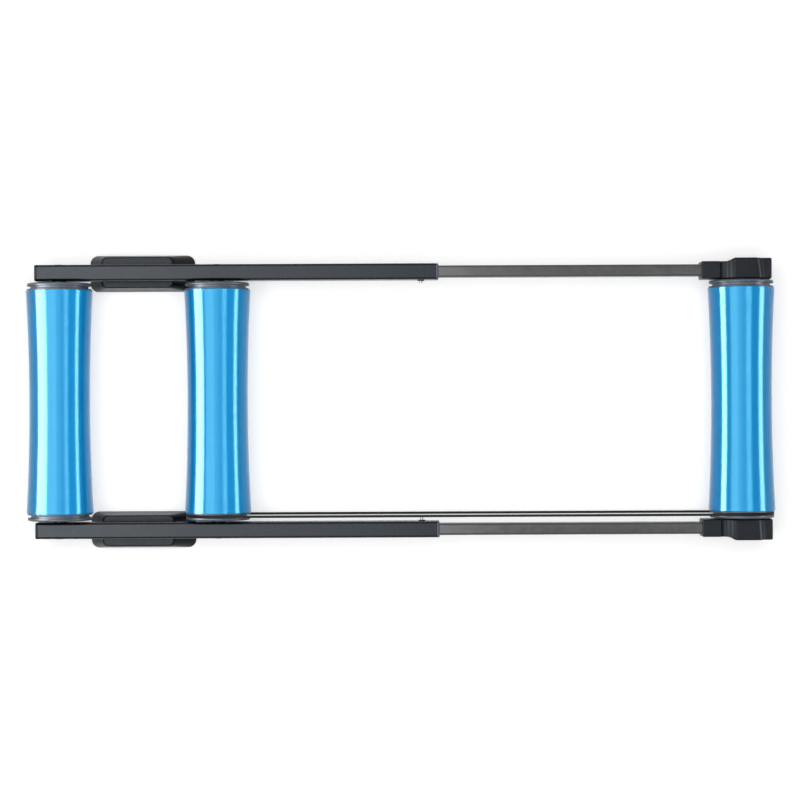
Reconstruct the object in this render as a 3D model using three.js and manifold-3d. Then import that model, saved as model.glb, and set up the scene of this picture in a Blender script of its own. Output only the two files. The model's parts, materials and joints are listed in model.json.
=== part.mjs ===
// Bike rollers: three waisted drums in a frame that slides out to the bicycle's wheelbase.
// Millimetres. +X points to the bicycle's front, +Y to the rider's left, +Z up.
// The origin is on the floor, midway between the rear axle and the front axle.

import * as THREE from 'three';
import { mergeVertices } from 'three/addons/utils/BufferGeometryUtils.js';
import Module from 'manifold-3d';

const wasm = await Module();
wasm.setup();

// Layout
const axleSpan = 1141;
const rearPairSpacing = 264.5;
const axleHeight = 62;
const fitGap = 0.3;
const overrun = 5;

// Drums
const drumHalfLength = 186;
const drumEndRadius = 55.5;
const drumWaistRadius = 50.3;
const drumWall = 3.5;
const drumSides = 28;
const drumOuterSteps = 6;
const drumInnerSteps = 4;

// Drive belt, a round cord in the grooves on the right-hand side
const beltDiameter = 4.8;
const beltPitchRadius = 51.2;
const beltFromDrum = 4.9;
const beltSides = 6;
const beltWrapSteps = 14;

// End caps
const capThickness = 12;
const capRailGap = 3.5;
const capSides = 18;
const capSpigotDepth = 16;
const capSpigotWall = 3;
const capSpigotClearance = 0.6;
const capLipRadius = 54;
const grooveFloorClearance = 0.6;
const grooveFloorWidth = 4.2;
const grooveMouthWidth = 5.2;
const flangeRadius = 53.6;
const flangeEdgeRadius = 52.4;
const flangeEdgeWidth = 2;
const capRimWall = 4;
const capWebThickness = 3.5;
const capHubRadius = 17.5;
const capHubRecess = 0.7;
const capShaftHoleRadius = 8;
const capRibCount = 6;
const capRibThickness = 3;
const capRibRecess = 1.2;

// Ball bearings
const bearingRadius = 13;
const bearingWidth = 8;
const bearingRecess = 1.2;
const bearingSeatClearance = 0.45;
const bearingSides = 10;

// Axles, which stand still
const axleRadius = 6;
const journalRadius = 5;
const axleOverhang = 3.1;
const axleTapDepth = 22;
const axleSides = 10;

// Outer rails
const railWidth = 27;
const railHeight = 40;
const railWall = 2;
const railCorner = 4.5;
const railOverhang = 34.9;
const railLength = 665.2;
const axleBossRadius = 12;
const axleBossHeight = 3;
const axleBossNoseRadius = 7;
const bossSides = 12;
const accessHoleRadius = 7;

// Screws into the axle ends
const axleScrewRadius = 3;
const axleScrewLength = 18;
const countersinkRadius = 6;
const countersinkDepth = 3;
const bracketScrewHeadRadius = 5;
const bracketScrewHeadHeight = 5;
const screwSides = 8;
const socketDepth = 2.5;
const socketRadius = 2.3;

// Plugs in the access holes of the outer walls
const holePlugFlangeRadius = 8.2;
const holePlugFlange = 0.8;
const holePlugDepth = 1.7;

// Plugs in the rear ends of the outer rails
const rearPlugFlange = 3.5;
const rearPlugChamfer = 1.2;
const rearPlugDepth = 20;
const rearPlugWall = 2;

// Collars on the front ends of the outer rails
const collarFlange = 4;
const collarChamfer = 2.2;
const collarDepth = 17;

// Locking screws in the inner walls of the outer rails
const lockScrewSetback = 25;
const lockScrewRadius = 2.8;
const lockScrewTipRadius = 1.6;
const lockScrewTipLength = 1.5;
const lockScrewStickout = 5.9;
const lockSocketRadius = 1.5;
const lockSocketDepth = 3;
const lockBossRadius = 5.5;
const lockBossHeight = 1.8;

// Inner tubes
const tubeWidth = 20;
const tubeHeight = 33;
const tubeWall = 1.8;
const tubeCorner = 4;
const tubeOverlap = 166;

// Glides on the rear ends of the inner tubes
const glideLength = 18;
const glideSpigot = 20;
const glideWall = 2.2;

// Rear feet
const footSetback = 132.9;
const footShift = 2.35;
const footBaseLength = 178.2;
const footBaseWidth = 61.7;
const footBaseCorner = 14;
const footTopLength = 119;
const footTopWidth = 52;
const footTopCorner = 9;
const footTopShift = -4;
const footTopHeight = 45;
const footEdgeRadius = 2.5;
const footEdgeSteps = 2;
const footBaseHeight = 3;
const footPocketLength = 88;
const footPocketWidth = 38;
const footPocketRoof = 7;
const footRibThickness = 3;
const footBossRadius = 8;
const footScrewSpacing = 66;
const footScrewRadius = 2.3;
const footScrewHeadRadius = 4.5;
const footScrewHeadHeight = 3;
const footScrewSeat = 32;
const footScrewLength = 11.6;

// Rubber pads, let into the feet and the front brackets
const padHeight = 5.5;
const padRecess = 2.5;
const padCorner = 5;
const footPadLength = 32;
const footPadWidth = 42;
const footPadInset = 23.5;
const frontPadLength = 54;
const frontPadWidth = 24;

// Front brackets, measured from the front axle
const sleeveReach = 68.5;
const sleeveLength = 31.5;
const sleeveWidth = 29.5;
const sleeveHeight = 40;
const sleeveDepth = 29;
const sleeveCorner = 2.5;
const saddleDrop = 4.5;
const saddleLength = 4;
const blockTopRear = 12.5;
const blockRise = 29;
const blockWidth = 34.75;
const blockRampRear = 21;
const blockRampFront = 12;
const blockFront = 49;
const blockCorner = 3;
const creaseReach = 26.5;
const leftCreaseSkew = 4.5;
const rightCreaseSkew = -2.5;
const noseReach = 34;
const noseDrop = 11;
const noseRadius = 3;
const legBaseHeight = 3;
const legBaseRear = 22;
const legBaseFront = 46;
const legWaistRear = 25;
const legWaistHeight = 26;
const gussetReach = 47;
const legPocketRear = 15;
const legPocketFront = 37;
const legPocketBottom = 12;
const legPocketTop = 38;
const legPocketDepth = 20;
const legPocketCorner = 5;
const legRibThickness = 4;
const legRibRecess = 3;
const sleeveScrewReach = 52;
const sleeveScrewRadius = 2.3;
const sleeveScrewHeadRadius = 4.5;
const sleeveScrewHeadHeight = 2.6;

// Places that follow from the sizes
const rearAxleX = -axleSpan / 2;
const frontAxleX = axleSpan / 2;
const middleAxleX = rearAxleX + rearPairSpacing;
const beltOffset = drumHalfLength + beltFromDrum;
const capOuterFace = drumHalfLength + capThickness;
const bearingOuterFace = capOuterFace - bearingRecess;
const axleEnd = bearingOuterFace + axleOverhang;
const railOffset = capOuterFace + capRailGap + railWidth / 2;
const railRearX = rearAxleX - railOverhang;
const railFrontX = railRearX + railLength;
const railInnerFace = railOffset - railWidth / 2;
const railOuterFace = railOffset + railWidth / 2;
const railBottom = axleHeight - railHeight / 2;
const tubeRearX = railFrontX - tubeOverlap;
const tubeFrontX = frontAxleX - sleeveReach + sleeveDepth - fitGap;
const tubeInnerFace = railOffset - tubeWidth / 2;
const lockScrewX = railFrontX - lockScrewSetback;
const lockScrewEnd = railInnerFace - lockScrewStickout;
const lockScrewTip = tubeInnerFace - fitGap;
const bearingInnerFace = bearingOuterFace - bearingWidth;
const bossNoseFace = bearingOuterFace + fitGap;
const axlePocketFloor = axleEnd + fitGap;
const bracketInnerFace = railOffset - sleeveWidth / 2;
const blockOuterFace = bracketInnerFace + blockWidth;
const bracketScrewSeat = railOffset;
const grooveFloorRadius = beltPitchRadius - beltDiameter / 2 - grooveFloorClearance;
const footCentreX = rearAxleX + footSetback;
const footOffset = railOffset + footShift;

// Finishes
function finish(color, roughness, metalness) {
  return new THREE.MeshStandardMaterial({ color, roughness, metalness });
}


const drumBlue = finish(0x1c9fe2, 0.18, 0);
const capGrey = finish(0x4a4d52, 0.4, 0);
const railPaint = finish(0x4c4e53, 0.45, 0.3);
const tubePaint = finish(0x66686b, 0.4, 0.4);
const blackPlastic = finish(0x1d1f23, 0.45, 0);
const blackRubber = finish(0x141414, 0.85, 0);
const beltCord = finish(0x4a4c4b, 0.6, 0);
const zincSteel = finish(0xc4c8cc, 0.3, 1);
const bearingSteel = finish(0xb4b8bd, 0.25, 1);

// A closed triangle mesh as a solid that can be joined and cut.
function solid(geometry) {
  const bare = geometry.clone();
  bare.deleteAttribute('normal');
  bare.deleteAttribute('uv');
  const merged = mergeVertices(bare);
  const corners = merged.index.array;
  const kept = [];
  for (let i = 0; i < corners.length; i += 3) {
    const [a, b, c] = corners.subarray(i, i + 3);
    if (a !== b && b !== c && c !== a) kept.push(a, b, c);
  }
  const vertProperties = merged.attributes.position.array;
  return new wasm.Manifold(new wasm.Mesh({ numProp: 3, vertProperties, triVerts: Uint32Array.from(kept) }));
}

function join(...solids) {
  return solids.reduce((whole, next) => whole.add(next));
}

function cut(body, ...tools) {
  return tools.reduce((rest, tool) => rest.subtract(tool), body);
}

// The same solid on the other side of the machine.
function mirrored(body) {
  const mesh = body.getMesh();
  const vertProperties = mesh.vertProperties.map((value, i) => (i % 3 === 1 ? -value : value));
  const triVerts = Uint32Array.from(mesh.triVerts).reverse();
  return new wasm.Manifold(new wasm.Mesh({ numProp: 3, vertProperties, triVerts }));
}

function piece(name, body, material) {
  const mesh = body.getMesh();
  const geometry = new THREE.BufferGeometry();
  geometry.setAttribute('position', new THREE.BufferAttribute(mesh.vertProperties, 3));
  geometry.setIndex(new THREE.BufferAttribute(mesh.triVerts, 1));
  geometry.computeVertexNormals();
  const part = new THREE.Mesh(geometry, material);
  part.name = name;
  return part;
}

function group(x, y, z, ...parts) {
  const holder = new THREE.Group();
  holder.position.set(x, y, z);
  holder.add(...parts);
  return holder;
}

// A piece on the left of the machine and its mirror image on the right.
function pair(name, body, material) {
  return [piece(`left_${name}`, body, material), piece(`right_${name}`, mirrored(body), material)];
}

// A rectangle with round corners, centred on (x, y).
function roundedRectangle(width, height, corner, x = 0, y = 0) {
  const shape = new THREE.Shape();
  const right = x + width / 2 - corner;
  const left = x - width / 2 + corner;
  const top = y + height / 2 - corner;
  const bottom = y - height / 2 + corner;
  shape.absarc(right, bottom, corner, -Math.PI / 2, 0);
  shape.absarc(right, top, corner, 0, Math.PI / 2);
  shape.absarc(left, top, corner, Math.PI / 2, Math.PI);
  shape.absarc(left, bottom, corner, Math.PI, Math.PI * 1.5);
  return shape;
}

function extruded(shape, depth, curveSegments) {
  return new THREE.ExtrudeGeometry(shape, { depth, curveSegments, bevelEnabled: false });
}

// A prism of a shape drawn in Y and Z.
function prismAlongX(shape, from, to, curveSegments = 1) {
  const turn = new THREE.Matrix4().makeBasis(
    new THREE.Vector3(0, 1, 0),
    new THREE.Vector3(0, 0, 1),
    new THREE.Vector3(1, 0, 0),
  );
  return solid(extruded(shape, to - from, curveSegments).applyMatrix4(turn).translate(from, 0, 0));
}

// A prism of a shape drawn in X and Z.
function prismAlongY(shape, from, to, curveSegments = 1) {
  return solid(extruded(shape, to - from, curveSegments).rotateX(Math.PI / 2).translate(0, to, 0));
}

// A prism of a shape drawn in X and Y.
function prismAlongZ(shape, from, to, curveSegments = 1) {
  return solid(extruded(shape, to - from, curveSegments).translate(0, 0, from));
}

// A round bar or cone along Y.
function rodAlongY(x, z, from, to, radius, sides, endRadius = radius) {
  const bar = new THREE.CylinderGeometry(endRadius, radius, to - from, sides);
  return solid(bar.translate(x, (from + to) / 2, z));
}

// A round bar along Z.
function rodAlongZ(x, y, from, to, radius, sides) {
  const bar = new THREE.CylinderGeometry(radius, radius, to - from, sides).rotateX(Math.PI / 2);
  return solid(bar.translate(x, y, (from + to) / 2));
}

// A profile of [radius, y] points, counterclockwise, turned about the Y axis.
function turned(profile, sides) {
  const points = profile.map(([radius, y]) => new THREE.Vector2(radius, y));
  if (points[0].x > 0) points.push(points[0].clone());
  return solid(new THREE.LatheGeometry(points, sides));
}

// A skin over rings of equal point count: capped at both ends, or endless.
function skin(rings, endless) {
  const count = rings[0].length;
  const total = rings.length;
  const index = [];
  for (let ring = 0; ring < (endless ? total : total - 1); ring += 1) {
    const here = ring * count;
    const next = ((ring + 1) % total) * count;
    for (let i = 0; i < count; i += 1) {
      const j = (i + 1) % count;
      index.push(here + i, here + j, next + j, here + i, next + j, next + i);
    }
  }
  const last = (total - 1) * count;
  for (let i = 1; i < count - 1 && !endless; i += 1) {
    index.push(0, i + 1, i, last, last + i, last + i + 1);
  }
  const geometry = new THREE.BufferGeometry().setFromPoints(rings.flat());
  geometry.setIndex(index);
  return solid(geometry);
}

function outlineAtX(shape, x) {
  const points = shape.getPoints(1);
  points.pop();
  return points.map((point) => new THREE.Vector3(x, point.x, point.y));
}

function outlineAtZ(shape, z) {
  const points = shape.getPoints(2);
  points.pop();
  return points.map((point) => new THREE.Vector3(point.x, point.y, z));
}

// Rectangular tube sections, centred on the left rail. A positive inset makes them smaller.
function railSection(inset) {
  const corner = Math.max(railCorner - inset, fitGap);
  return roundedRectangle(railWidth - 2 * inset, railHeight - 2 * inset, corner, railOffset, axleHeight);
}

function tubeSection(inset) {
  const corner = Math.max(tubeCorner - inset, fitGap);
  return roundedRectangle(tubeWidth - 2 * inset, tubeHeight - 2 * inset, corner, railOffset, axleHeight);
}

// Radius of the drum's outside, a parabola with its waist in the middle.
function drumRadius(y) {
  const share = y / drumHalfLength;
  return drumWaistRadius + (drumEndRadius - drumWaistRadius) * share * share;
}

function drumSolid() {
  const outer = [];
  for (let i = 0; i <= drumOuterSteps; i += 1) {
    const y = drumHalfLength * (2 * i / drumOuterSteps - 1);
    outer.push([drumRadius(y), y]);
  }
  const inner = [];
  for (let i = 0; i <= drumInnerSteps; i += 1) {
    const y = drumHalfLength * (1 - 2 * i / drumInnerSteps);
    inner.push([drumRadius(y) - drumWall, y]);
  }
  return turned([...outer, ...inner], drumSides);
}

// The cap's groove is centred on the belt, its hub holds the bearing, and ribs tie hub and rim.
function capSolid() {
  const spigotEnd = drumHalfLength - capSpigotDepth;
  const spigotEndRadius = drumRadius(spigotEnd) - drumWall - capSpigotClearance;
  const spigotRadius = drumEndRadius - drumWall - capSpigotClearance;
  const spigotInner = spigotEndRadius - capSpigotWall;
  const lipFace = drumHalfLength + fitGap;
  const flangeFace = beltOffset + grooveMouthWidth / 2;
  const rimRadius = grooveFloorRadius - capRimWall;
  const webFace = bearingInnerFace - fitGap;
  const webBack = webFace - capWebThickness;
  const hubFace = capOuterFace - capHubRecess;
  const seatRadius = bearingRadius + bearingSeatClearance;
  const disc = turned([
    [spigotInner, spigotEnd],
    [spigotEndRadius, spigotEnd],
    [spigotRadius, lipFace],
    [capLipRadius, lipFace],
    [capLipRadius, beltOffset - grooveMouthWidth / 2],
    [grooveFloorRadius, beltOffset - grooveFloorWidth / 2],
    [grooveFloorRadius, beltOffset + grooveFloorWidth / 2],
    [flangeRadius, flangeFace],
    [flangeRadius, capOuterFace - flangeEdgeWidth],
    [flangeEdgeRadius, capOuterFace],
    [rimRadius, capOuterFace],
    [rimRadius, webFace],
    [capHubRadius, webFace],
    [capHubRadius, hubFace],
    [seatRadius, hubFace],
    [seatRadius, webFace],
    [capShaftHoleRadius, webFace],
    [capShaftHoleRadius, webBack],
    [spigotInner, webBack],
  ], capSides);
  const ribLength = rimRadius - seatRadius;
  const ribHeight = capOuterFace - capRibRecess - webFace + capWebThickness / 2;
  const ribs = [];
  for (let i = 0; i < capRibCount; i += 1) {
    const bar = new THREE.BoxGeometry(ribLength, ribHeight, capRibThickness);
    bar.translate((rimRadius + seatRadius) / 2 + capRibThickness / 2, 0, 0);
    bar.rotateY((2 * Math.PI * i) / capRibCount);
    bar.translate(0, capOuterFace - capRibRecess - ribHeight / 2, 0);
    ribs.push(solid(bar));
  }
  return join(disc, ...ribs);
}

function bearingSolid() {
  const bore = journalRadius + fitGap;
  return turned([
    [bore, bearingInnerFace],
    [bearingRadius, bearingInnerFace],
    [bearingRadius, bearingOuterFace],
    [bore, bearingOuterFace],
  ], bearingSides);
}

// The axle's shoulders locate the bearings, and its tapped ends take the screws.
function axleSolid() {
  const shoulder = bearingInnerFace - fitGap;
  const tapRadius = axleScrewRadius + fitGap;
  const tapFloor = axleEnd - axleTapDepth;
  const half = [
    [axleRadius, shoulder],
    [journalRadius, shoulder],
    [journalRadius, axleEnd],
    [tapRadius, axleEnd],
    [tapRadius, tapFloor],
    [0, tapFloor],
  ];
  const otherHalf = half.map(([radius, y]) => [radius, -y]).reverse();
  return turned([...otherHalf, ...half], axleSides);
}

// A welded boss that stands on an inner wall and carries an axle end, before its holes are cut.
function axleBoss(x, wallFace) {
  const discFace = railInnerFace - axleBossHeight;
  const disc = rodAlongY(x, axleHeight, discFace, wallFace, axleBossRadius, bossSides);
  const nose = rodAlongY(x, axleHeight, bossNoseFace, discFace + overrun, axleBossNoseRadius, bossSides);
  return join(disc, nose);
}

function axlePocket(x) {
  const pocketRadius = journalRadius + fitGap;
  return rodAlongY(x, axleHeight, bossNoseFace - overrun, axlePocketFloor, pocketRadius, bossSides);
}

// An outer rail with its bosses, access holes, foot screw holes and the threaded seat of the lock.
function railSolid() {
  const section = railSection(0);
  section.holes.push(railSection(railWall));
  let rail = prismAlongX(section, railRearX, railFrontX);
  const wallInside = railInnerFace + railWall;
  const sinkFloor = wallInside - countersinkDepth;
  const screwHole = axleScrewRadius + fitGap;
  const wallMiddle = railInnerFace + railWall / 2;
  const outerWall = railOuterFace - railWall - overrun / 2;
  for (const x of [rearAxleX, middleAxleX]) {
    const sinkMouth = countersinkRadius + fitGap;
    const sink = rodAlongY(x, axleHeight, sinkFloor, wallInside, screwHole, screwSides, sinkMouth);
    const shaftHole = rodAlongY(x, axleHeight, railInnerFace - overrun, wallInside, screwHole, screwSides);
    const access = rodAlongY(
      x, axleHeight, outerWall, railOuterFace + overrun, accessHoleRadius, bossSides,
    );
    rail = join(rail, axleBoss(x, wallMiddle));
    rail = cut(rail, axlePocket(x), shaftHole, sink, access);
  }
  for (const x of footScrewPlaces()) {
    const hole = footScrewRadius + fitGap;
    const drill = rodAlongZ(x, railOffset, railBottom - overrun, railBottom + overrun, hole, screwSides);
    rail = cut(rail, drill);
  }
  const lockFace = railInnerFace - lockBossHeight;
  const lockHole = lockScrewRadius + fitGap;
  const seat = rodAlongY(lockScrewX, axleHeight, lockFace, wallMiddle, lockBossRadius, screwSides);
  const thread = rodAlongY(
    lockScrewX, axleHeight, lockFace - overrun, railInnerFace + overrun, lockHole, screwSides,
  );
  return cut(join(rail, seat), thread);
}

function footScrewPlaces() {
  return [footCentreX - footScrewSpacing / 2, footCentreX + footScrewSpacing / 2];
}

function rearPlugSolid() {
  const rearX = railRearX - fitGap - rearPlugFlange;
  const flange = skin([
    outlineAtX(railSection(rearPlugChamfer), rearX),
    outlineAtX(railSection(0), rearX + rearPlugChamfer),
    outlineAtX(railSection(0), railRearX - fitGap),
  ]);
  const spigotInset = railWall + fitGap;
  const spigotSection = railSection(spigotInset);
  spigotSection.holes.push(railSection(spigotInset + rearPlugWall));
  const spigot = prismAlongX(spigotSection, railRearX - rearPlugFlange / 2, railRearX + rearPlugDepth);
  return join(flange, spigot);
}

function collarSolid() {
  const rearX = railFrontX + fitGap;
  const frontX = rearX + collarFlange;
  const flange = skin([
    outlineAtX(railSection(0), rearX),
    outlineAtX(railSection(0), frontX - collarChamfer),
    outlineAtX(railSection(collarChamfer), frontX),
  ]);
  const bushRear = railFrontX - collarDepth;
  const bush = prismAlongX(railSection(railWall + fitGap), bushRear, rearX + collarFlange / 2);
  return cut(join(flange, bush), prismAlongX(tubeSection(-fitGap), bushRear - overrun, frontX + overrun));
}

function tubeSolid() {
  const section = tubeSection(0);
  section.holes.push(tubeSection(tubeWall));
  const hole = sleeveScrewRadius + fitGap;
  const tubeBottom = axleHeight - tubeHeight / 2;
  const screwX = frontAxleX - sleeveScrewReach;
  const drill = rodAlongZ(screwX, railOffset, tubeBottom - overrun, tubeBottom + overrun, hole, screwSides);
  return cut(prismAlongX(section, tubeRearX, tubeFrontX), drill);
}

// The glide runs in the outer rail and plugs into the inner tube.
function glideSolid() {
  const rearX = tubeRearX - fitGap - glideLength;
  const head = prismAlongX(railSection(railWall + fitGap), rearX, tubeRearX - fitGap);
  const spigotSection = tubeSection(tubeWall + fitGap);
  const spigot = prismAlongX(spigotSection, tubeRearX - glideLength / 2, tubeRearX + glideSpigot);
  const boreSection = tubeSection(tubeWall + fitGap + glideWall);
  const bore = prismAlongX(boreSection, rearX + glideWall, tubeRearX + glideSpigot + overrun);
  return cut(join(head, spigot), bore);
}

function holePlugSolid(x) {
  const spigotRadius = accessHoleRadius - fitGap;
  const flangeFace = railOuterFace + fitGap;
  const flange = rodAlongY(
    x, axleHeight, flangeFace, flangeFace + holePlugFlange, holePlugFlangeRadius, bossSides,
    holePlugFlangeRadius - holePlugFlange / 2,
  );
  const spigot = rodAlongY(x, axleHeight, railOuterFace - holePlugDepth, flangeFace + holePlugFlange / 2,
    spigotRadius, bossSides);
  return join(flange, spigot);
}

// A hexagonal socket for a key, as a tool that cuts along Y.
function hexSocket(from, to, radius) {
  return rodAlongY(0, 0, from, to, radius, 6);
}

// A countersunk screw, flush with the inside of the rail's wall.
function railAxleScrewSolid() {
  const face = railInnerFace + railWall;
  const neck = face - countersinkDepth;
  return turned([
    [0, neck - axleScrewLength],
    [axleScrewRadius, neck - axleScrewLength],
    [axleScrewRadius, neck],
    [countersinkRadius, face],
    [0, face],
  ], screwSides);
}

// A cap screw in a counterbore of the front bracket.
function bracketAxleScrewSolid() {
  const seat = bracketScrewSeat + fitGap;
  const face = seat + bracketScrewHeadHeight;
  const end = railInnerFace + railWall - countersinkDepth - axleScrewLength;
  const body = turned([
    [0, end],
    [axleScrewRadius, end],
    [axleScrewRadius, seat],
    [bracketScrewHeadRadius, seat],
    [bracketScrewHeadRadius, face],
    [0, face],
  ], screwSides);
  return cut(body, hexSocket(face - socketDepth, face + overrun, socketRadius));
}

function lockScrewSolid() {
  const shoulder = lockScrewTip - lockScrewTipLength;
  const body = turned([
    [0, lockScrewEnd],
    [lockScrewRadius, lockScrewEnd],
    [lockScrewRadius, shoulder],
    [lockScrewTipRadius, lockScrewTip],
    [0, lockScrewTip],
  ], screwSides);
  return cut(body, hexSocket(lockScrewEnd - overrun, lockScrewEnd + lockSocketDepth, lockSocketRadius));
}

// A pan-head screw that points up, its head below the seat.
function uprightScrew(seat, length, radius, headRadius, headHeight) {
  const shank = rodAlongZ(0, 0, seat - headHeight / 2, seat + length, radius, screwSides);
  const head = rodAlongZ(0, 0, seat - headHeight, seat, headRadius, screwSides);
  return join(shank, head);
}

// The foot's outline at a share of its height, drawn in by an inset at the rounded top edge.
function footOutline(share, inset) {
  const length = THREE.MathUtils.lerp(footBaseLength, footTopLength, share) - 2 * inset;
  const width = THREE.MathUtils.lerp(footBaseWidth, footTopWidth, share) - 2 * inset;
  const corner = THREE.MathUtils.lerp(footBaseCorner, footTopCorner, share) - inset;
  return roundedRectangle(length, width, corner, footCentreX + footTopShift * share, footOffset);
}

// A drafted foot with a saddle for the rail, and a ribbed pocket, screw bosses and pad recesses below.
function footSolid() {
  const rings = [outlineAtZ(footOutline(0, 0), footBaseHeight)];
  for (let i = 0; i <= footEdgeSteps; i += 1) {
    const angle = (Math.PI / 2) * (i / footEdgeSteps);
    const height = footTopHeight - footEdgeRadius * (1 - Math.sin(angle));
    const share = (height - footBaseHeight) / (footTopHeight - footBaseHeight);
    rings.push(outlineAtZ(footOutline(share, footEdgeRadius * (1 - Math.cos(angle))), height));
  }
  const body = skin(rings);
  const saddleFloor = railBottom - fitGap;
  const saddleSection = railSection(-fitGap);
  const saddleReach = footBaseLength;
  const saddle = prismAlongX(saddleSection, footCentreX - saddleReach, footCentreX + saddleReach);

  const pocketRoof = saddleFloor - footPocketRoof;
  const floor = footBaseHeight - overrun;
  const pocketShape = roundedRectangle(
    footPocketLength, footPocketWidth, padCorner, footCentreX, footOffset,
  );
  let pocket = prismAlongZ(pocketShape, floor, pocketRoof);
  const ribCorner = footRibThickness / 4;
  const spine = roundedRectangle(footBaseLength, footRibThickness, ribCorner, footCentreX, railOffset);
  pocket = cut(pocket, prismAlongZ(spine, floor - overrun, pocketRoof + overrun));
  for (const x of footScrewPlaces()) {
    const rib = roundedRectangle(footRibThickness, footBaseWidth, ribCorner, x, footOffset);
    const boss = rodAlongZ(x, railOffset, floor - overrun, pocketRoof + overrun, footBossRadius, bossSides);
    pocket = cut(pocket, prismAlongZ(rib, floor - overrun, pocketRoof + overrun), boss);
  }

  let foot = cut(body, saddle, pocket);
  for (const x of footScrewPlaces()) {
    const shankHole = footScrewRadius + fitGap;
    const headHole = footScrewHeadRadius + fitGap;
    foot = cut(
      foot,
      rodAlongZ(x, railOffset, floor, footTopHeight, shankHole, screwSides),
      rodAlongZ(x, railOffset, floor, footScrewSeat, headHole, screwSides),
    );
  }
  for (const x of footPadPlaces()) {
    const recess = roundedRectangle(
      footPadLength + 2 * fitGap, footPadWidth + 2 * fitGap, padCorner, x, footOffset,
    );
    foot = cut(foot, prismAlongZ(recess, floor, footBaseHeight + padRecess + fitGap));
  }
  return foot;
}

function footPadPlaces() {
  const reach = footBaseLength / 2 - footPadInset;
  return [footCentreX - reach, footCentreX + reach];
}

function padSolid(x, y, length, width) {
  return prismAlongZ(roundedRectangle(length, width, padCorner, x, y), 0, padHeight);
}

// Side view of a front bracket: sleeve, saddle, block over the axle, nose and leg.
function bracketSideView() {
  const sleeveTop = axleHeight + sleeveHeight / 2;
  const sleeveBottom = axleHeight - sleeveHeight / 2;
  const sleeveFront = sleeveLength - sleeveReach;
  const saddleFront = sleeveFront + saddleLength;
  const saddleFloor = sleeveTop - saddleDrop;
  const blockTop = axleHeight + blockRise;
  const noseTop = blockTop - noseDrop;
  const riseMiddle = (saddleFront - blockTopRear) / 2;
  const riseLevel = (blockTop + saddleFloor) / 2;
  const shape = new THREE.Shape();
  shape.moveTo(-sleeveReach, sleeveBottom);
  shape.lineTo(-gussetReach, sleeveBottom);
  shape.quadraticCurveTo(-legWaistRear, sleeveBottom, -legWaistRear, legWaistHeight);
  shape.lineTo(-legBaseRear, legBaseHeight);
  shape.lineTo(legBaseFront, legBaseHeight);
  shape.lineTo(blockFront, noseTop - noseRadius);
  shape.quadraticCurveTo(blockFront, noseTop, blockFront - noseRadius, noseTop);
  shape.lineTo(noseReach + overrun, noseTop);
  shape.lineTo(noseReach + overrun, blockTop);
  shape.lineTo(-blockTopRear, blockTop);
  shape.quadraticCurveTo((riseMiddle - blockTopRear) / 2, blockTop, riseMiddle, riseLevel);
  shape.quadraticCurveTo((riseMiddle + saddleFront) / 2, saddleFloor, saddleFront, saddleFloor);
  shape.quadraticCurveTo(sleeveFront, saddleFloor, sleeveFront, sleeveTop);
  shape.lineTo(-sleeveReach, sleeveTop);
  return shape;
}

// Plan view of the left front bracket: the block stands further out than the sleeve.
function bracketPlanView() {
  const sleeveOuterFace = railOffset + sleeveWidth / 2;
  const rampMiddle = (blockRampRear + blockRampFront) / 2;
  const shape = new THREE.Shape();
  shape.moveTo(-sleeveReach + sleeveCorner, bracketInnerFace);
  shape.lineTo(blockFront - blockCorner, bracketInnerFace);
  shape.quadraticCurveTo(blockFront, bracketInnerFace, blockFront, bracketInnerFace + blockCorner);
  shape.lineTo(blockFront, blockOuterFace - blockCorner);
  shape.quadraticCurveTo(blockFront, blockOuterFace, blockFront - blockCorner, blockOuterFace);
  shape.lineTo(-blockRampFront, blockOuterFace);
  shape.quadraticCurveTo(-rampMiddle, blockOuterFace, -blockRampRear, sleeveOuterFace);
  shape.lineTo(-sleeveReach + sleeveCorner, sleeveOuterFace);
  shape.quadraticCurveTo(-sleeveReach, sleeveOuterFace, -sleeveReach, sleeveOuterFace - sleeveCorner);
  shape.lineTo(-sleeveReach, bracketInnerFace + sleeveCorner);
  shape.quadraticCurveTo(-sleeveReach, bracketInnerFace, -sleeveReach + sleeveCorner, bracketInnerFace);
  return shape;
}

// The slope in front of the block's flat top. Its upper edge runs askew across the block.
function creaseTool(skew) {
  const shape = new THREE.Shape();
  const blockTop = axleHeight + blockRise;
  const run = noseReach - creaseReach;
  shape.moveTo(0, 0);
  shape.lineTo(run, -noseDrop);
  shape.lineTo(run + 2 * overrun, -noseDrop);
  shape.lineTo(run + 2 * overrun, overrun);
  shape.lineTo(0, overrun);
  const wedge = extruded(shape, blockWidth + 2 * overrun, 1).rotateX(Math.PI / 2);
  wedge.translate(0, blockWidth / 2 + overrun, 0);
  wedge.rotateZ(Math.atan(skew / blockWidth));
  wedge.translate(creaseReach, (blockOuterFace + bracketInnerFace) / 2, blockTop);
  return solid(wedge);
}

function frontPadCentre() {
  return [(legBaseFront - legBaseRear) / 2, (bracketInnerFace + blockOuterFace) / 2];
}

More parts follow.
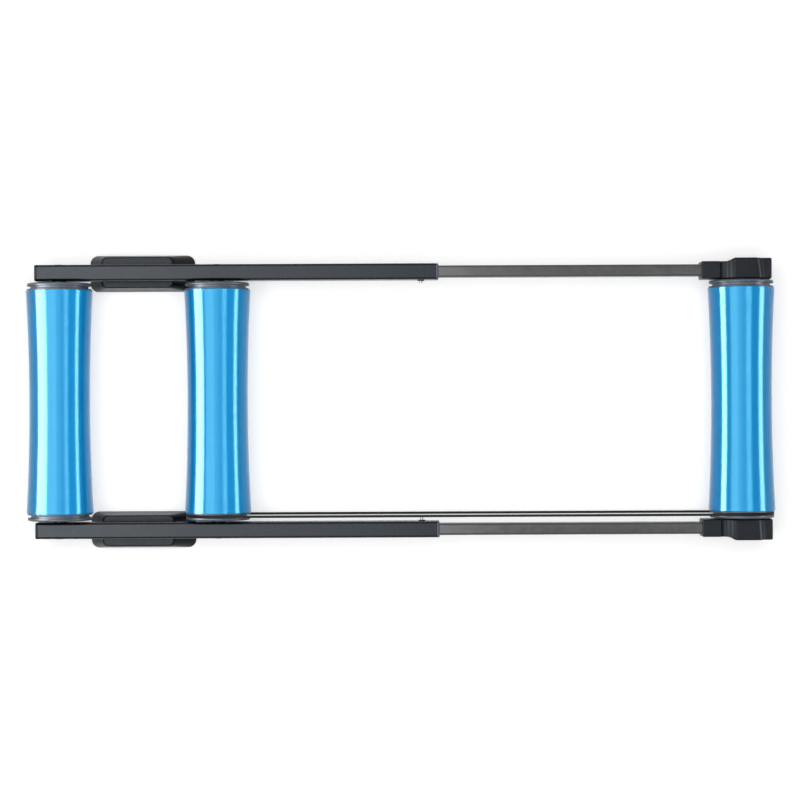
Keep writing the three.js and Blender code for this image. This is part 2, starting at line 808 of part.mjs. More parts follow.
// The moulded bracket, with X measured from the front axle.
function bracketSolid(creaseSkew) {
  const side = prismAlongY(bracketSideView(), bracketInnerFace - overrun, blockOuterFace + overrun, 4);
  const plan = prismAlongZ(bracketPlanView(), 0, axleHeight + blockRise + overrun, 3);
  const tubeBore = prismAlongX(tubeSection(-fitGap), -sleeveReach - overrun, -sleeveReach + sleeveDepth);
  const screwHole = rodAlongY(
    0, axleHeight, bracketInnerFace - overrun, blockOuterFace, axleScrewRadius + fitGap, screwSides,
  );
  const headRadius = bracketScrewHeadRadius + 2 * fitGap;
  const headHole = rodAlongY(
    0, axleHeight, bracketScrewSeat, blockOuterFace + overrun, headRadius, screwSides,
  );
  const pocketX = (legPocketFront - legPocketRear) / 2;
  const pocketShape = roundedRectangle(
    legPocketFront + legPocketRear, legPocketTop - legPocketBottom, legPocketCorner,
    pocketX, (legPocketTop + legPocketBottom) / 2,
  );
  const ribHeight = legPocketTop - legPocketBottom + overrun;
  const ribShape = roundedRectangle(
    legRibThickness, ribHeight, legRibThickness / 4, pocketX, (legPocketTop + legPocketBottom) / 2,
  );
  const pocketFloor = blockOuterFace - legPocketDepth;
  const pocket = cut(
    prismAlongY(pocketShape, pocketFloor, blockOuterFace + overrun),
    prismAlongY(ribShape, pocketFloor - overrun, blockOuterFace - legRibRecess),
  );
  const [padX, padY] = frontPadCentre();
  const padShape = roundedRectangle(
    frontPadLength + 2 * fitGap, frontPadWidth + 2 * fitGap, padCorner, padX, padY,
  );
  const padSeat = prismAlongZ(padShape, legBaseHeight - overrun, legBaseHeight + padRecess + fitGap);
  const sleeveBottom = axleHeight - sleeveHeight / 2;
  const drill = rodAlongZ(
    -sleeveScrewReach, railOffset, sleeveBottom - overrun, sleeveBottom + 2 * overrun,
    sleeveScrewRadius + fitGap, screwSides,
  );
  const body = join(side.intersect(plan), axleBoss(0, bracketInnerFace + overrun));
  const holes = [tubeBore, axlePocket(0), screwHole, headHole, pocket, padSeat, drill];
  return cut(body, creaseTool(creaseSkew), ...holes);
}

// An endless round cord around the middle and the front groove.
function beltSolid() {
  const rings = [];
  const across = new THREE.Vector3(0, 1, 0);
  for (const [centreX, start] of [[frontAxleX, -Math.PI / 2], [middleAxleX, Math.PI / 2]]) {
    for (let step = 0; step <= beltWrapSteps; step += 1) {
      const angle = start + (Math.PI * step) / beltWrapSteps;
      const outward = new THREE.Vector3(Math.cos(angle), 0, Math.sin(angle));
      const centre = new THREE.Vector3(centreX, -beltOffset, axleHeight);
      centre.addScaledVector(outward, beltPitchRadius);
      const ring = [];
      for (let side = 0; side < beltSides; side += 1) {
        const turn = (2 * Math.PI * side) / beltSides;
        const point = centre.clone();
        point.addScaledVector(outward, (beltDiameter / 2) * Math.cos(turn));
        point.addScaledVector(across, (beltDiameter / 2) * Math.sin(turn));
        ring.push(point);
      }
      rings.push(ring);
    }
  }
  return skin(rings, true);
}

// One drum with its caps and bearings, centred on its axle.
function roller(name, x) {
  const cap = capSolid();
  const bearing = bearingSolid();
  return group(
    x, 0, axleHeight,
    piece(`${name}_drum`, drumSolid(), drumBlue),
    piece(`${name}_left_cap`, cap, capGrey),
    piece(`${name}_right_cap`, mirrored(cap), capGrey),
    piece(`${name}_left_bearing`, bearing, bearingSteel),
    piece(`${name}_right_bearing`, mirrored(bearing), bearingSteel),
  );
}

// One axle with the screws in its two ends.
function fixedAxle(name, x, screw) {
  return group(
    x, 0, axleHeight,
    piece(`${name}_axle`, axleSolid(), zincSteel),
    ...pair(`${name}_axle_screw`, screw, zincSteel),
  );
}

function rearFrame() {
  const frame = group(
    0, 0, 0,
    ...pair('outer_rail', railSolid(), railPaint),
    ...pair('rear_plug', rearPlugSolid(), blackPlastic),
    ...pair('front_collar', collarSolid(), capGrey),
    ...pair('rear_foot', footSolid(), blackPlastic),
    ...pair('rear_hole_plug', holePlugSolid(rearAxleX), blackPlastic),
    ...pair('middle_hole_plug', holePlugSolid(middleAxleX), blackPlastic),
  );
  const ends = ['rear', 'front'];
  const footScrew = uprightScrew(
    footScrewSeat - fitGap, footScrewLength, footScrewRadius, footScrewHeadRadius, footScrewHeadHeight,
  );
  for (const [sideName, side] of [['left', 1], ['right', -1]]) {
    footScrewPlaces().forEach((x, i) => {
      frame.add(group(
        x, side * railOffset, 0,
        piece(`${sideName}_foot_screw_${ends[i]}`, footScrew, zincSteel),
      ));
    });
    footPadPlaces().forEach((x, i) => {
      const pad = padSolid(0, 0, footPadLength, footPadWidth);
      frame.add(group(
        x, side * footOffset, 0,
        piece(`${sideName}_foot_pad_${ends[i]}`, pad, blackRubber),
      ));
    });
  }
  frame.add(fixedAxle('rear', rearAxleX, railAxleScrewSolid()));
  frame.add(fixedAxle('middle', middleAxleX, railAxleScrewSolid()));
  frame.add(piece('drive_belt', beltSolid(), beltCord));
  return frame;
}

function frontCarriage() {
  const [padX, padY] = frontPadCentre();
  const sleeveBottom = axleHeight - sleeveHeight / 2;
  const tubeFloor = axleHeight - tubeHeight / 2 + tubeWall;
  const sleeveScrew = uprightScrew(
    sleeveBottom - fitGap, tubeFloor - sleeveBottom, sleeveScrewRadius, sleeveScrewHeadRadius,
    sleeveScrewHeadHeight,
  );
  const bracketParts = group(
    frontAxleX, 0, 0,
    piece('left_front_bracket', bracketSolid(leftCreaseSkew), blackPlastic),
    piece('right_front_bracket', mirrored(bracketSolid(rightCreaseSkew)), blackPlastic),
    ...pair('front_pad', padSolid(padX, padY, frontPadLength, frontPadWidth), blackRubber),
    group(-sleeveScrewReach, railOffset, 0, piece('left_sleeve_screw', sleeveScrew, zincSteel)),
    group(-sleeveScrewReach, -railOffset, 0, piece('right_sleeve_screw', sleeveScrew, zincSteel)),
  );
  return group(
    0, 0, 0,
    ...pair('inner_tube', tubeSolid(), tubePaint),
    ...pair('tube_glide', glideSolid(), blackPlastic),
    bracketParts,
    fixedAxle('front', frontAxleX, bracketAxleScrewSolid()),
  );
}

export default group(
  0, 0, 0,
  rearFrame(),
  frontCarriage(),
  group(lockScrewX, 0, axleHeight, ...pair('lock_screw', lockScrewSolid(), zincSteel)),
  roller('rear', rearAxleX),
  roller('middle', middleAxleX),
  roller('front', frontAxleX),
);
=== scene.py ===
# Looks of the bike rollers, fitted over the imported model.
# Metres. +X points to the bicycle's front, +Y to the rider's left, +Z up.

import json
import math

import bmesh
import bpy
from mathutils import Matrix, Vector


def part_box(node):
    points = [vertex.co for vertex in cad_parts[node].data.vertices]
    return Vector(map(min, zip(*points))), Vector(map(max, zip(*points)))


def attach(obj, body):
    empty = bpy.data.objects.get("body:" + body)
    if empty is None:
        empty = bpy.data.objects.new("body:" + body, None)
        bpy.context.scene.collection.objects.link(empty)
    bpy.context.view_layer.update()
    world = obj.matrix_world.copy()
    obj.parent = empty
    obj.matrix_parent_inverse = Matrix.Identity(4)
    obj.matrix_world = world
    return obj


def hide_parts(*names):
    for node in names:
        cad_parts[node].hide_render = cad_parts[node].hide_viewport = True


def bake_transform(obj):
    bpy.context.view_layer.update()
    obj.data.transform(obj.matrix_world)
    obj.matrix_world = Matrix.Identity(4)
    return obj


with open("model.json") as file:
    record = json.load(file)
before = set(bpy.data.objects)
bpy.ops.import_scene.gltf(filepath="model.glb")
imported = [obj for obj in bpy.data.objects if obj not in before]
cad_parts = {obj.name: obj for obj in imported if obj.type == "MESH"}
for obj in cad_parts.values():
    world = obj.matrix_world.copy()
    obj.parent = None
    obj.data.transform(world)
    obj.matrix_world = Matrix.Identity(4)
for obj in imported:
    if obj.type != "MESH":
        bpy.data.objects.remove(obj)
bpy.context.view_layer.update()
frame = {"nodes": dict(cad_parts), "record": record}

# Sizes that the boxes of the pieces don't give. Gap between pieces, overrun of tools, small edges
FIT_GAP = 0.0003
OVERRUN = 0.005
FINE_EDGE = 0.0003
MOULD_EDGE = 0.0006

# Drums, end caps and bearings. Points of a drum as near as the band to its middle are its waist
WAIST_BAND = 0.0003
DRUM_WALL = 0.0035
DRUM_EDGE = 0.0006
CAP_SPIGOT_DEPTH = 0.016
CAP_SPIGOT_WALL = 0.003
CAP_SPIGOT_CLEARANCE = 0.0006
CAP_LIP_RADIUS = 0.054
CAP_FLANGE_RADIUS = 0.0536
CAP_FLANGE_EDGE = 0.0012
CAP_FLANGE_EDGE_WIDTH = 0.002
GROOVE_FLOOR_RADIUS = 0.0482
GROOVE_FLOOR_WIDTH = 0.0042
GROOVE_MOUTH_WIDTH = 0.0052
CAP_RIM_WALL = 0.004
CAP_WEB = 0.0035
CAP_HUB_RADIUS = 0.0175
CAP_HUB_RECESS = 0.0007
CAP_HOLE_RADIUS = 0.008
CAP_RIBS = 6
CAP_RIB_THICKNESS = 0.003
CAP_RIB_RECESS = 0.0012
BEARING_SHIELD_OUTER = 0.0113
BEARING_SHIELD_INNER = 0.0073
BEARING_SHIELD_RECESS = 0.0004
BEARING_BORE_CLEARANCE = 0.0001

# Axles and the bosses that carry them
AXLE_JOURNAL_RADIUS = 0.005
AXLE_TAP_RADIUS = 0.0025
AXLE_TAP_DEPTH = 0.022
BOSS_RADIUS = 0.012
BOSS_HEIGHT = 0.003
BOSS_NOSE_RADIUS = 0.007
BOSS_FILLET = 0.0012

# Outer rails, inner tubes, plugs and collars
RAIL_WIDTH = 0.027
RAIL_HEIGHT = 0.04
RAIL_WALL = 0.002
RAIL_CORNER = 0.0045
RAIL_EDGE = 0.0004
LOCK_BOSS_RADIUS = 0.0055
LOCK_BOSS_HEIGHT = 0.0018
TUBE_CORNER = 0.004
TUBE_WALL = 0.0018
PLUG_DOME = 0.0012
HOLE_PLUG_SHANK_SHARE = 0.8
HOLE_PLUG_RIM_SHARE = 0.97
HOLE_PLUG_FACE_SHARE = 0.6
COLLAR_EDGE = 0.0022

# Rear feet and rubber pads
FOOT_BASE_CORNER = 0.014
FOOT_TOP_LENGTH = 0.119
FOOT_TOP_WIDTH = 0.052
FOOT_TOP_CORNER = 0.009
FOOT_TOP_SHIFT = -0.004
FOOT_EDGE = 0.0025
FOOT_POCKET_LENGTH = 0.088
FOOT_POCKET_WIDTH = 0.038
FOOT_POCKET_CORNER = 0.005
FOOT_POCKET_ROOF = 0.007
FOOT_RIB = 0.003
RIB_CORNER_SHARE = 0.25
FOOT_BOSS_RADIUS = 0.008
FOOT_SCREW_SEAT = 0.032
SCREW_HOLE_RADIUS = 0.0026
SCREW_HEAD_HOLE_RADIUS = 0.0048
PAD_RECESS = 0.0028
PAD_CORNER = 0.005
PAD_EDGE = 0.0008

# Front brackets
SLEEVE_LENGTH = 0.0315
SLEEVE_WIDTH = 0.0295
SLEEVE_DEPTH = 0.029
SLEEVE_CORNER = 0.0025
SLEEVE_REACH = 0.0685
SADDLE_DROP = 0.0045
SADDLE_LENGTH = 0.004
BLOCK_TOP_REAR = 0.0125
BLOCK_RAMP_REAR = 0.021
BLOCK_RAMP_FRONT = 0.012
BLOCK_FRONT = 0.049
BLOCK_CORNER = 0.003
CREASE_REACH = 0.0214
CREASE_RUN = 0.0082
CREASE_DROP = 0.0045
LEFT_CREASE_SKEW = 0.0045
RIGHT_CREASE_SKEW = -0.0025
NOSE_REACH = 0.034
NOSE_DROP = 0.011
NOSE_RADIUS = 0.003
LEG_BASE_REAR = 0.022
LEG_BASE_FRONT = 0.046
LEG_WAIST_REAR = 0.025
LEG_WAIST_HEIGHT = 0.026
GUSSET_REACH = 0.047
LEG_POCKET_REAR = 0.015
LEG_POCKET_FRONT = 0.037
LEG_POCKET_BOTTOM = 0.012
LEG_POCKET_TOP = 0.038
LEG_POCKET_DEPTH = 0.02
LEG_POCKET_CORNER = 0.005
LEG_RIB = 0.004
LEG_RIB_RECESS = 0.003
BRACKET_EDGE = 0.0022
BRACKET_SCREW_SEAT = 0.215
BRACKET_SCREW_HOLE_RADIUS = 0.0056
SLEEVE_SCREW_REACH = 0.052

# Screws
AXLE_SCREW_RADIUS = 0.003
COUNTERSINK_DEPTH = 0.003
SCREW_EDGE = 0.0006
SOCKET_SIDES = 6
SOCKET_RADIUS = 0.0023
SOCKET_DEPTH = 0.0025
LOCK_TIP_RADIUS = 0.0016
LOCK_TIP_LENGTH = 0.0015
LOCK_SOCKET_RADIUS = 0.0015
LOCK_SOCKET_DEPTH = 0.003
PAN_SCREW_RADIUS = 0.0023
PAN_HEAD_HEIGHT = 0.0026
CROSS_LENGTH = 0.0048
CROSS_WIDTH = 0.0011
CROSS_DEPTH = 0.0015
THREAD_PITCH = 0.0008
THREAD_DEPTH = 0.0004

# Fineness of the meshes
ROUND_SEGMENTS = 128
RING_SEGMENTS = 96
SCREW_SEGMENTS = 48
CORNER_STEPS = 8
FILLET_STEPS = 4
EDGE_STEPS = 2
DRUM_STEPS = 48
BELT_SIDES = 16
BELT_WRAP_STEPS = 48
BELT_RUN_STEPS = 60
SMOOTH_ANGLE = math.radians(38)
BEVEL_ANGLE = math.radians(33)
FLAT_ANGLE = math.radians(0.5)
# Points nearer than this are one point, in any mesh and in one whose flat faces are joined
SAME_POINT = 1e-7
SAME_FLAT_POINT = 1e-6
# Largest share of a side that the rounding of one corner may take
ROUNDING_SHARE = 0.45
# Smallest share of a face's direction along Y with which it counts as a side face
SIDE_FACE_SHARE = 0.9

# Noises of the materials: their detail, how much finer the gloss is clouded than the colour, and the
# values between which a noise mostly stays
MOTTLE_DETAIL = 5
GLOSS_DETAIL = 6
GRAIN_DETAIL = 3
GLOSS_FINENESS = 4
NOISE_LOW = 0.3
NOISE_HIGH = 0.7

# Camera, straight above the rollers
CAMERA_PLACE = (-0.00097, 0.00069, 3.547)
CAMERA_ROLL = math.radians(-0.261)
CAMERA_LENS = 93.69
SENSOR_WIDTH = 36
CAMERA_REACH = 50

# Floor
FLOOR_REACH = 9
FLOOR_NEAR = 0.8
FLOOR_FAR = 4.0
FLOOR_LIFT_NEAR = 0.5
FLOOR_LIFT_FAR = 0.84
FLOOR_PAINT = 0.65

# World, as a light and as a background
WORLD_LIGHT = 0.25
WORLD_SEEN = 1

# Lamps: a soft one for the matte surfaces, and panels that only show as reflections
OVERHEAD_PLACE = (-0.3, 0, 3.0)
OVERHEAD_SIDE = 3.2
OVERHEAD_LEVEL = 3.0
CEILING_HEIGHT = 3.6
# Place along X, width, length across the machine and brightness
CEILING_PANELS = {
    "broad_left": (-2.05, 2.5, 4.0, 7.0),
    "broad_middle": (-0.35, 0.9, 4.0, 3.7),
    "broad_right": (0.64, 1.08, 0.3, 2.6),
    "strip_right": (1.79, 1.22, 0.3, 11.0),
}
# Place along X, height of the middle, length across the machine, height and brightness
WALL_PANELS = {
    "wall_left": (-1.2, 0.53, 0.5, 0.62, 42),
    "wall_right": (2.35, 0.83, 1.2, 0.67, 18),
}

ROLLERS = ("rear", "middle", "front")
RAIL_AXLES = ("rear", "middle")
SIDES = ("left", "right")

body_of_node = {
    node: body
    for body, members in frame["record"]["behaviour"]["bodies"].items()
    for node in members
}


# Meshes

def side_centre(low, high):
    """Middle of a box in the view along the axles."""
    return ((low.x + high.x) / 2, (low.z + high.z) / 2)


def plan_centre(low, high):
    """Middle of a box in the view from above."""
    return ((low.x + high.x) / 2, (low.y + high.y) / 2)


def linked(name, data):
    """A new object with this mesh, lamp or camera, at the origin."""
    made = bpy.data.objects.new(name, data)
    bpy.context.scene.collection.objects.link(made)
    return made


def solid(name, vertices, faces):
    """A closed mesh whose faces all look outwards."""
    mesh = bpy.data.meshes.new(name)
    mesh.from_pydata([tuple(v) for v in vertices], [], faces)
    shape = bmesh.new()
    shape.from_mesh(mesh)
    bmesh.ops.remove_doubles(shape, verts=shape.verts, dist=SAME_POINT)
    bmesh.ops.recalc_face_normals(shape, faces=shape.faces)
    shape.to_mesh(mesh)
    shape.free()
    return linked(name, mesh)


def rounded_rectangle(width, height, corner, centre, steps=CORNER_STEPS):
    """Counterclockwise outline of a rectangle with round corners."""
    outline = []
    for quarter, (side, level) in enumerate(((1, -1), (1, 1), (-1, 1), (-1, -1))):
        middle_u = centre[0] + side * (width / 2 - corner)
        middle_v = centre[1] + level * (height / 2 - corner)
        for step in range(steps + 1):
            angle = math.pi / 2 * (quarter - 1 + step / steps)
            outline.append((middle_u + corner * math.cos(angle), middle_v + corner * math.sin(angle)))
    return outline


def curved(start, control, end, steps=CORNER_STEPS):
    """Points of a quadratic curve, without its start."""
    points = []
    for step in range(1, steps + 1):
        share = step / steps
        weights = ((1 - share) ** 2, 2 * share * (1 - share), share ** 2)
        points.append(tuple(
            weights[0] * a + weights[1] * b + weights[2] * c for a, b, c in zip(start, control, end)
        ))
    return points


def softened(outline, size, steps=EDGE_STEPS):
    """The same closed outline with each corner rounded off by this size, or less beside a short side."""
    points = []
    count = len(outline)
    for i, here in enumerate(outline):
        corner = Vector(here)
        before = Vector(outline[i - 1]) - corner
        after = Vector(outline[(i + 1) % count]) - corner
        reach = min(size, before.length * ROUNDING_SHARE, after.length * ROUNDING_SHARE)
        start = corner + before.normalized() * reach
        end = corner + after.normalized() * reach
        points.append(tuple(start))
        points.extend(curved(tuple(start), tuple(corner), tuple(end), steps))
    return points


def quarter_round(radius):
    """Distances from the side and from the end face, along a rounding that runs from side to face."""
    angles = [math.pi / 2 * step / FILLET_STEPS for step in range(FILLET_STEPS + 1)]
    return [(radius * (1 - math.cos(angle)), radius * (1 - math.sin(angle))) for angle in angles]


def turns(count):
    """Angles of equal steps round a full turn."""
    return [2 * math.pi * i / count for i in range(count)]


def lofted(name, rings, endless=False):
    """A skin over rings of equally many points, closed at both ends unless it is endless."""
    count = len(rings[0])
    total = len(rings)
    vertices = [point for ring in rings for point in ring]
    faces = []
    for ring in range(total if endless else total - 1):
        here = ring * count
        there = (ring + 1) % total * count
        for i in range(count):
            j = (i + 1) % count
            faces.append((here + i, here + j, there + j, there + i))
    if not endless:
        faces.append(tuple(range(count)))
        faces.append(tuple((total - 1) * count + i for i in range(count)))
    return solid(name, vertices, faces)


def at_x(outline, x):
    return [(x, u, v) for u, v in outline]


def at_y(outline, y):
    return [(u, y, v) for u, v in outline]


def at_z(outline, z):
    return [(u, v, z) for u, v in outline]


def extruded(name, outline, placed, low, high):
    """A straight bar between two places along the axis of at_x, at_y or at_z."""
    return lofted(name, [placed(outline, low), placed(outline, high)])


def pipe_along_x(name, outer_rings, inner_outline):
    """A pipe whose outside follows rings of (outline, x) and whose bore is straight."""
    outside = [at_x(outline, x) for outline, x in outer_rings]
    inside = [at_x(inner_outline, outer_rings[-1][1]), at_x(inner_outline, outer_rings[0][1])]
    return lofted(name, outside + inside, endless=True)


def turned(name, profile, centre, segments=ROUND_SEGMENTS, upright=False):
    """A closed profile of (radius, y) points turned about Y, or of (radius, z) points about Z."""
    rings = []
    for angle in turns(segments):
        ring = []
        for radius, level in profile:
            u = centre[0] + radius * math.cos(angle)
            v = centre[1] + radius * math.sin(angle)
            ring.append((u, v, level) if upright else (u, level, v))
        rings.append(ring)
    return lofted(name, rings, endless=True)


def rod(centre, low, high, radius, upright=False):
    """A round tool along Y, or along Z if it is upright."""
    profile = [(0, low), (radius, low), (radius, high), (0, high)]
    return turned("tool", profile, centre, SCREW_SEGMENTS, upright)


def baked(piece):
    """The piece with its modifiers made part of its mesh."""
    graph = bpy.context.evaluated_depsgraph_get()
    mesh = bpy.data.meshes.new_from_object(piece.evaluated_get(graph))
    mesh.name = piece.name
    piece.modifiers.clear()
    piece.data = mesh
    return piece


def combined(piece, operation, *tools):
    """The piece cut by, joined with or limited to the tools, which are used up."""
    for tool in tools:
        change = piece.modifiers.new("combine", "BOOLEAN")
        change.operation = operation
        change.solver = "EXACT"
        change.object = tool
        baked(piece)
        bpy.data.objects.remove(tool)
    return piece


def merged(piece, *others):
    """One piece out of several whose meshes may run into each other."""
    shape = bmesh.new()
    for part in (piece, *others):
        shape.from_mesh(part.data)
    shape.to_mesh(piece.data)
    shape.free()
    for part in others:
        bpy.data.objects.remove(part)
    return piece


def flats_joined(piece):
    """The same shape with its flat faces in one piece each."""
    shape = bmesh.new()
    shape.from_mesh(piece.data)
    bmesh.ops.remove_doubles(shape, verts=shape.verts, dist=SAME_FLAT_POINT)
    bmesh.ops.dissolve_limit(shape, angle_limit=FLAT_ANGLE, verts=shape.verts, edges=shape.edges)
    shape.to_mesh(piece.data)
    shape.free()
    return piece


def edges_rounded(piece, width, steps=EDGE_STEPS, limited=True):
    """Rounds the sharp edges. If it isn't limited, a rounding may be wider than the faces beside it."""
    flats_joined(piece)
    rounding = piece.modifiers.new("edges", "BEVEL")
    rounding.width = width
    rounding.segments = steps
    rounding.limit_method = "ANGLE"
    rounding.angle_limit = BEVEL_ANGLE
    rounding.use_clamp_overlap = limited
    return baked(piece)


def smoothed(piece, edge=0.0):
    """Rounds the sharp edges by this size and shades the curves as curves and the flats as flats."""
    if edge:
        edges_rounded(piece, edge)
    piece.data.shade_smooth()
    piece.data.set_sharp_from_angle(angle=SMOOTH_ANGLE)
    weights = piece.modifiers.new("normals", "WEIGHTED_NORMAL")
    weights.keep_sharp = True
    return baked(piece)


def mirror_image(piece, name):
    """A copy of the piece on the other side of the machine."""
    mesh = piece.data.copy()
    mesh.transform(Matrix.Scale(-1, 4, (0, 1, 0)))
    mesh.flip_normals()
    return linked(name, mesh)


def fitted(piece, node, slot, *materials):
    """Puts a finished piece in the place of a CAD node."""
    piece.name = node + "_look"
    piece.data.materials.clear()
    for material in materials:
        piece.data.materials.append(material)
    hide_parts(node)
    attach(piece, body_of_node[node])
    return piece


def fitted_pair(piece, node, slot, *materials, edge=0.0):
    """Puts a left piece and its mirror image in the places of two CAD nodes."""
    other = mirror_image(piece, "right")
    smoothed(piece, edge)
    smoothed(other, edge)
    fitted(piece, "left_" + node, slot, *materials)
    fitted(other, "right_" + node, slot, *materials)


def dressed(node, slot, material, edge):
    """Stands a copy of a CAD node, with rounded edges, in its place."""
    piece = linked(node, frame["nodes"][node].data.copy())
    smoothed(piece, edge)
    return fitted(piece, node, slot, material)


# Materials

# Tint of the reflections of the grey and black pieces
COOL = (0.84, 0.92, 1)


def linear(red, green, blue):
    """A colour on screen, in steps of 255, as light, by the formula of sRGB."""
    shares = [value / 255 for value in (red, green, blue)]
    return [s / 12.92 if s <= 0.04045 else ((s + 0.055) / 1.055) ** 2.4 for s in shares]


def noise(tree, place, scale, detail):
    node = tree.nodes.new("ShaderNodeTexNoise")
    node.inputs["Scale"].default_value = scale
    node.inputs["Detail"].default_value = detail
    tree.links.new(place, node.inputs["Vector"])
    return node.outputs[0]


def spread(tree, value, low, high):
    """Stretches the middle of a noise to the range from low to high."""
    node = tree.nodes.new("ShaderNodeMapRange")
    node.inputs["From Min"].default_value = NOISE_LOW
    node.inputs["From Max"].default_value = NOISE_HIGH
    node.inputs["To Min"].default_value = low
    node.inputs["To Max"].default_value = high
    tree.links.new(value, node.inputs["Value"])
    return node.outputs[0]


def surface(name, colour, roughness, metallic=0.0, mottle=0.05, mottle_scale=30, grain_scale=900,
            grain_height=0.00002, stretch=(1, 1, 1), mirror=0.5, tint=(1, 1, 1)):
    """A material with clouded colour, a roughness that varies in a range, and a fine grain."""
    material = bpy.data.materials.new(name)
    material.use_nodes = True
    tree = material.node_tree
    shader = tree.nodes["Principled BSDF"]
    shader.inputs["Metallic"].default_value = metallic
    shader.inputs["Specular IOR Level"].default_value = mirror
    shader.inputs["Specular Tint"].default_value = (*tint, 1)
    coordinates = tree.nodes.new("ShaderNodeTexCoord")
    mapping = tree.nodes.new("ShaderNodeMapping")
    mapping.inputs["Scale"].default_value = stretch
    tree.links.new(coordinates.outputs["Object"], mapping.inputs["Vector"])
    place = mapping.outputs["Vector"]

    clouds = noise(tree, place, mottle_scale, MOTTLE_DETAIL)
    grain = noise(tree, place, grain_scale, GRAIN_DETAIL)
    tone = tree.nodes.new("ShaderNodeMix")
    tone.data_type = "RGBA"
    tone_low, tone_high = [s for s in tone.inputs if s.type == "RGBA"]
    light = linear(*colour)
    tone_low.default_value = (*[channel * (1 - mottle) for channel in light], 1)
    tone_high.default_value = (*[channel * (1 + mottle) for channel in light], 1)
    tree.links.new(spread(tree, clouds, 0, 1), tone.inputs[0])
    result = next(s for s in tone.outputs if s.type == "RGBA")
    tree.links.new(result, shader.inputs["Base Color"])
    gloss = noise(tree, place, mottle_scale * GLOSS_FINENESS, GLOSS_DETAIL)
    tree.links.new(spread(tree, gloss, *roughness), shader.inputs["Roughness"])
    bump = tree.nodes.new("ShaderNodeBump")
    bump.inputs["Strength"].default_value = 1
    bump.inputs["Distance"].default_value = grain_height
    tree.links.new(grain, bump.inputs["Height"])
    tree.links.new(bump.outputs["Normal"], shader.inputs["Normal"])
    return material


drum_blue = surface(
    "drum_blue", (2, 129, 194), (0.13, 0.19), mottle=0.03, mottle_scale=12, grain_scale=60,
    grain_height=0.000015, stretch=(1, 4, 1), tint=(0.3, 0.9, 1),
)
cap_grey = surface("cap_grey", (70, 77, 87), (0.34, 0.44), mirror=0.32, tint=COOL)
rail_paint = surface(
    "rail_paint", (15, 17, 21), (0.22, 0.3), grain_scale=1100, grain_height=0.000008, mirror=0.21,
    tint=COOL,
)
tube_paint = surface(
    "tube_paint", (26, 27, 28), (0.16, 0.24), grain_scale=1300, grain_height=0.000012, mirror=0.8,
)
black_plastic = surface(
    "black_plastic", (24, 27, 31), (0.3, 0.38), mottle=0.12, grain_height=0.000008, mirror=0.1,
    tint=COOL,
)
foot_plastic = surface(
    "foot_plastic", (9, 10, 14), (0.3, 0.38), mottle=0.12, grain_height=0.000005, mirror=0.16,
    tint=COOL,
)
pad_rubber = surface(
    "pad_rubber", (20, 20, 20), (0.75, 0.9), mottle=0.2, grain_scale=500, grain_height=0.0001,
)
belt_cord = surface(
    "belt_cord", (26, 28, 30), (0.55, 0.7), mottle=0.1, mottle_scale=200, grain_scale=1500,
    mirror=0.15,
)
zinc_steel = surface("zinc_steel", (205, 208, 212), (0.22, 0.38), metallic=1.0, mottle_scale=150)
bearing_steel = surface("bearing_steel", (190, 194, 198), (0.15, 0.25), metallic=1.0, mottle_scale=200)
bearing_seal = surface("bearing_seal", (28, 28, 30), (0.5, 0.65), mottle=0.15)


# Rollers

def drum_curve(name):
    """A drum's half length, and its outer radius as a function of the distance from its waist."""
    low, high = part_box(name + "_drum")
    centre = side_centre(low, high)
    end_radius = (high.x - low.x) / 2
    half = high.y
    waist_radius = max(
        math.hypot(v.co.x - centre[0], v.co.z - centre[1])
        for v in frame["nodes"][name + "_drum"].data.vertices
        if abs(v.co.y) < WAIST_BAND
    )

    def radius_at(y):
        share = y / half
        return waist_radius + (end_radius - waist_radius) * share * share

    return half, radius_at


def drum(name):
    half, radius_at = drum_curve(name)
    outside = []
    for step in range(DRUM_STEPS + 1):
        y = half * (2 * step / DRUM_STEPS - 1)
        y = max(min(y, half - DRUM_EDGE), DRUM_EDGE - half)
        outside.append((radius_at(y), y))
    mouth = radius_at(half) - DRUM_EDGE
    inside = [(radius - DRUM_WALL, y) for radius, y in reversed(outside)]
    bore = radius_at(half) - DRUM_WALL
    profile = [*outside, (mouth, half), (bore, half), *inside, (bore, -half), (mouth, -half)]
    made = turned("drum", profile, side_centre(*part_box(name + "_drum")))
    fitted(smoothed(made), name + "_drum", "drum_blue", drum_blue)


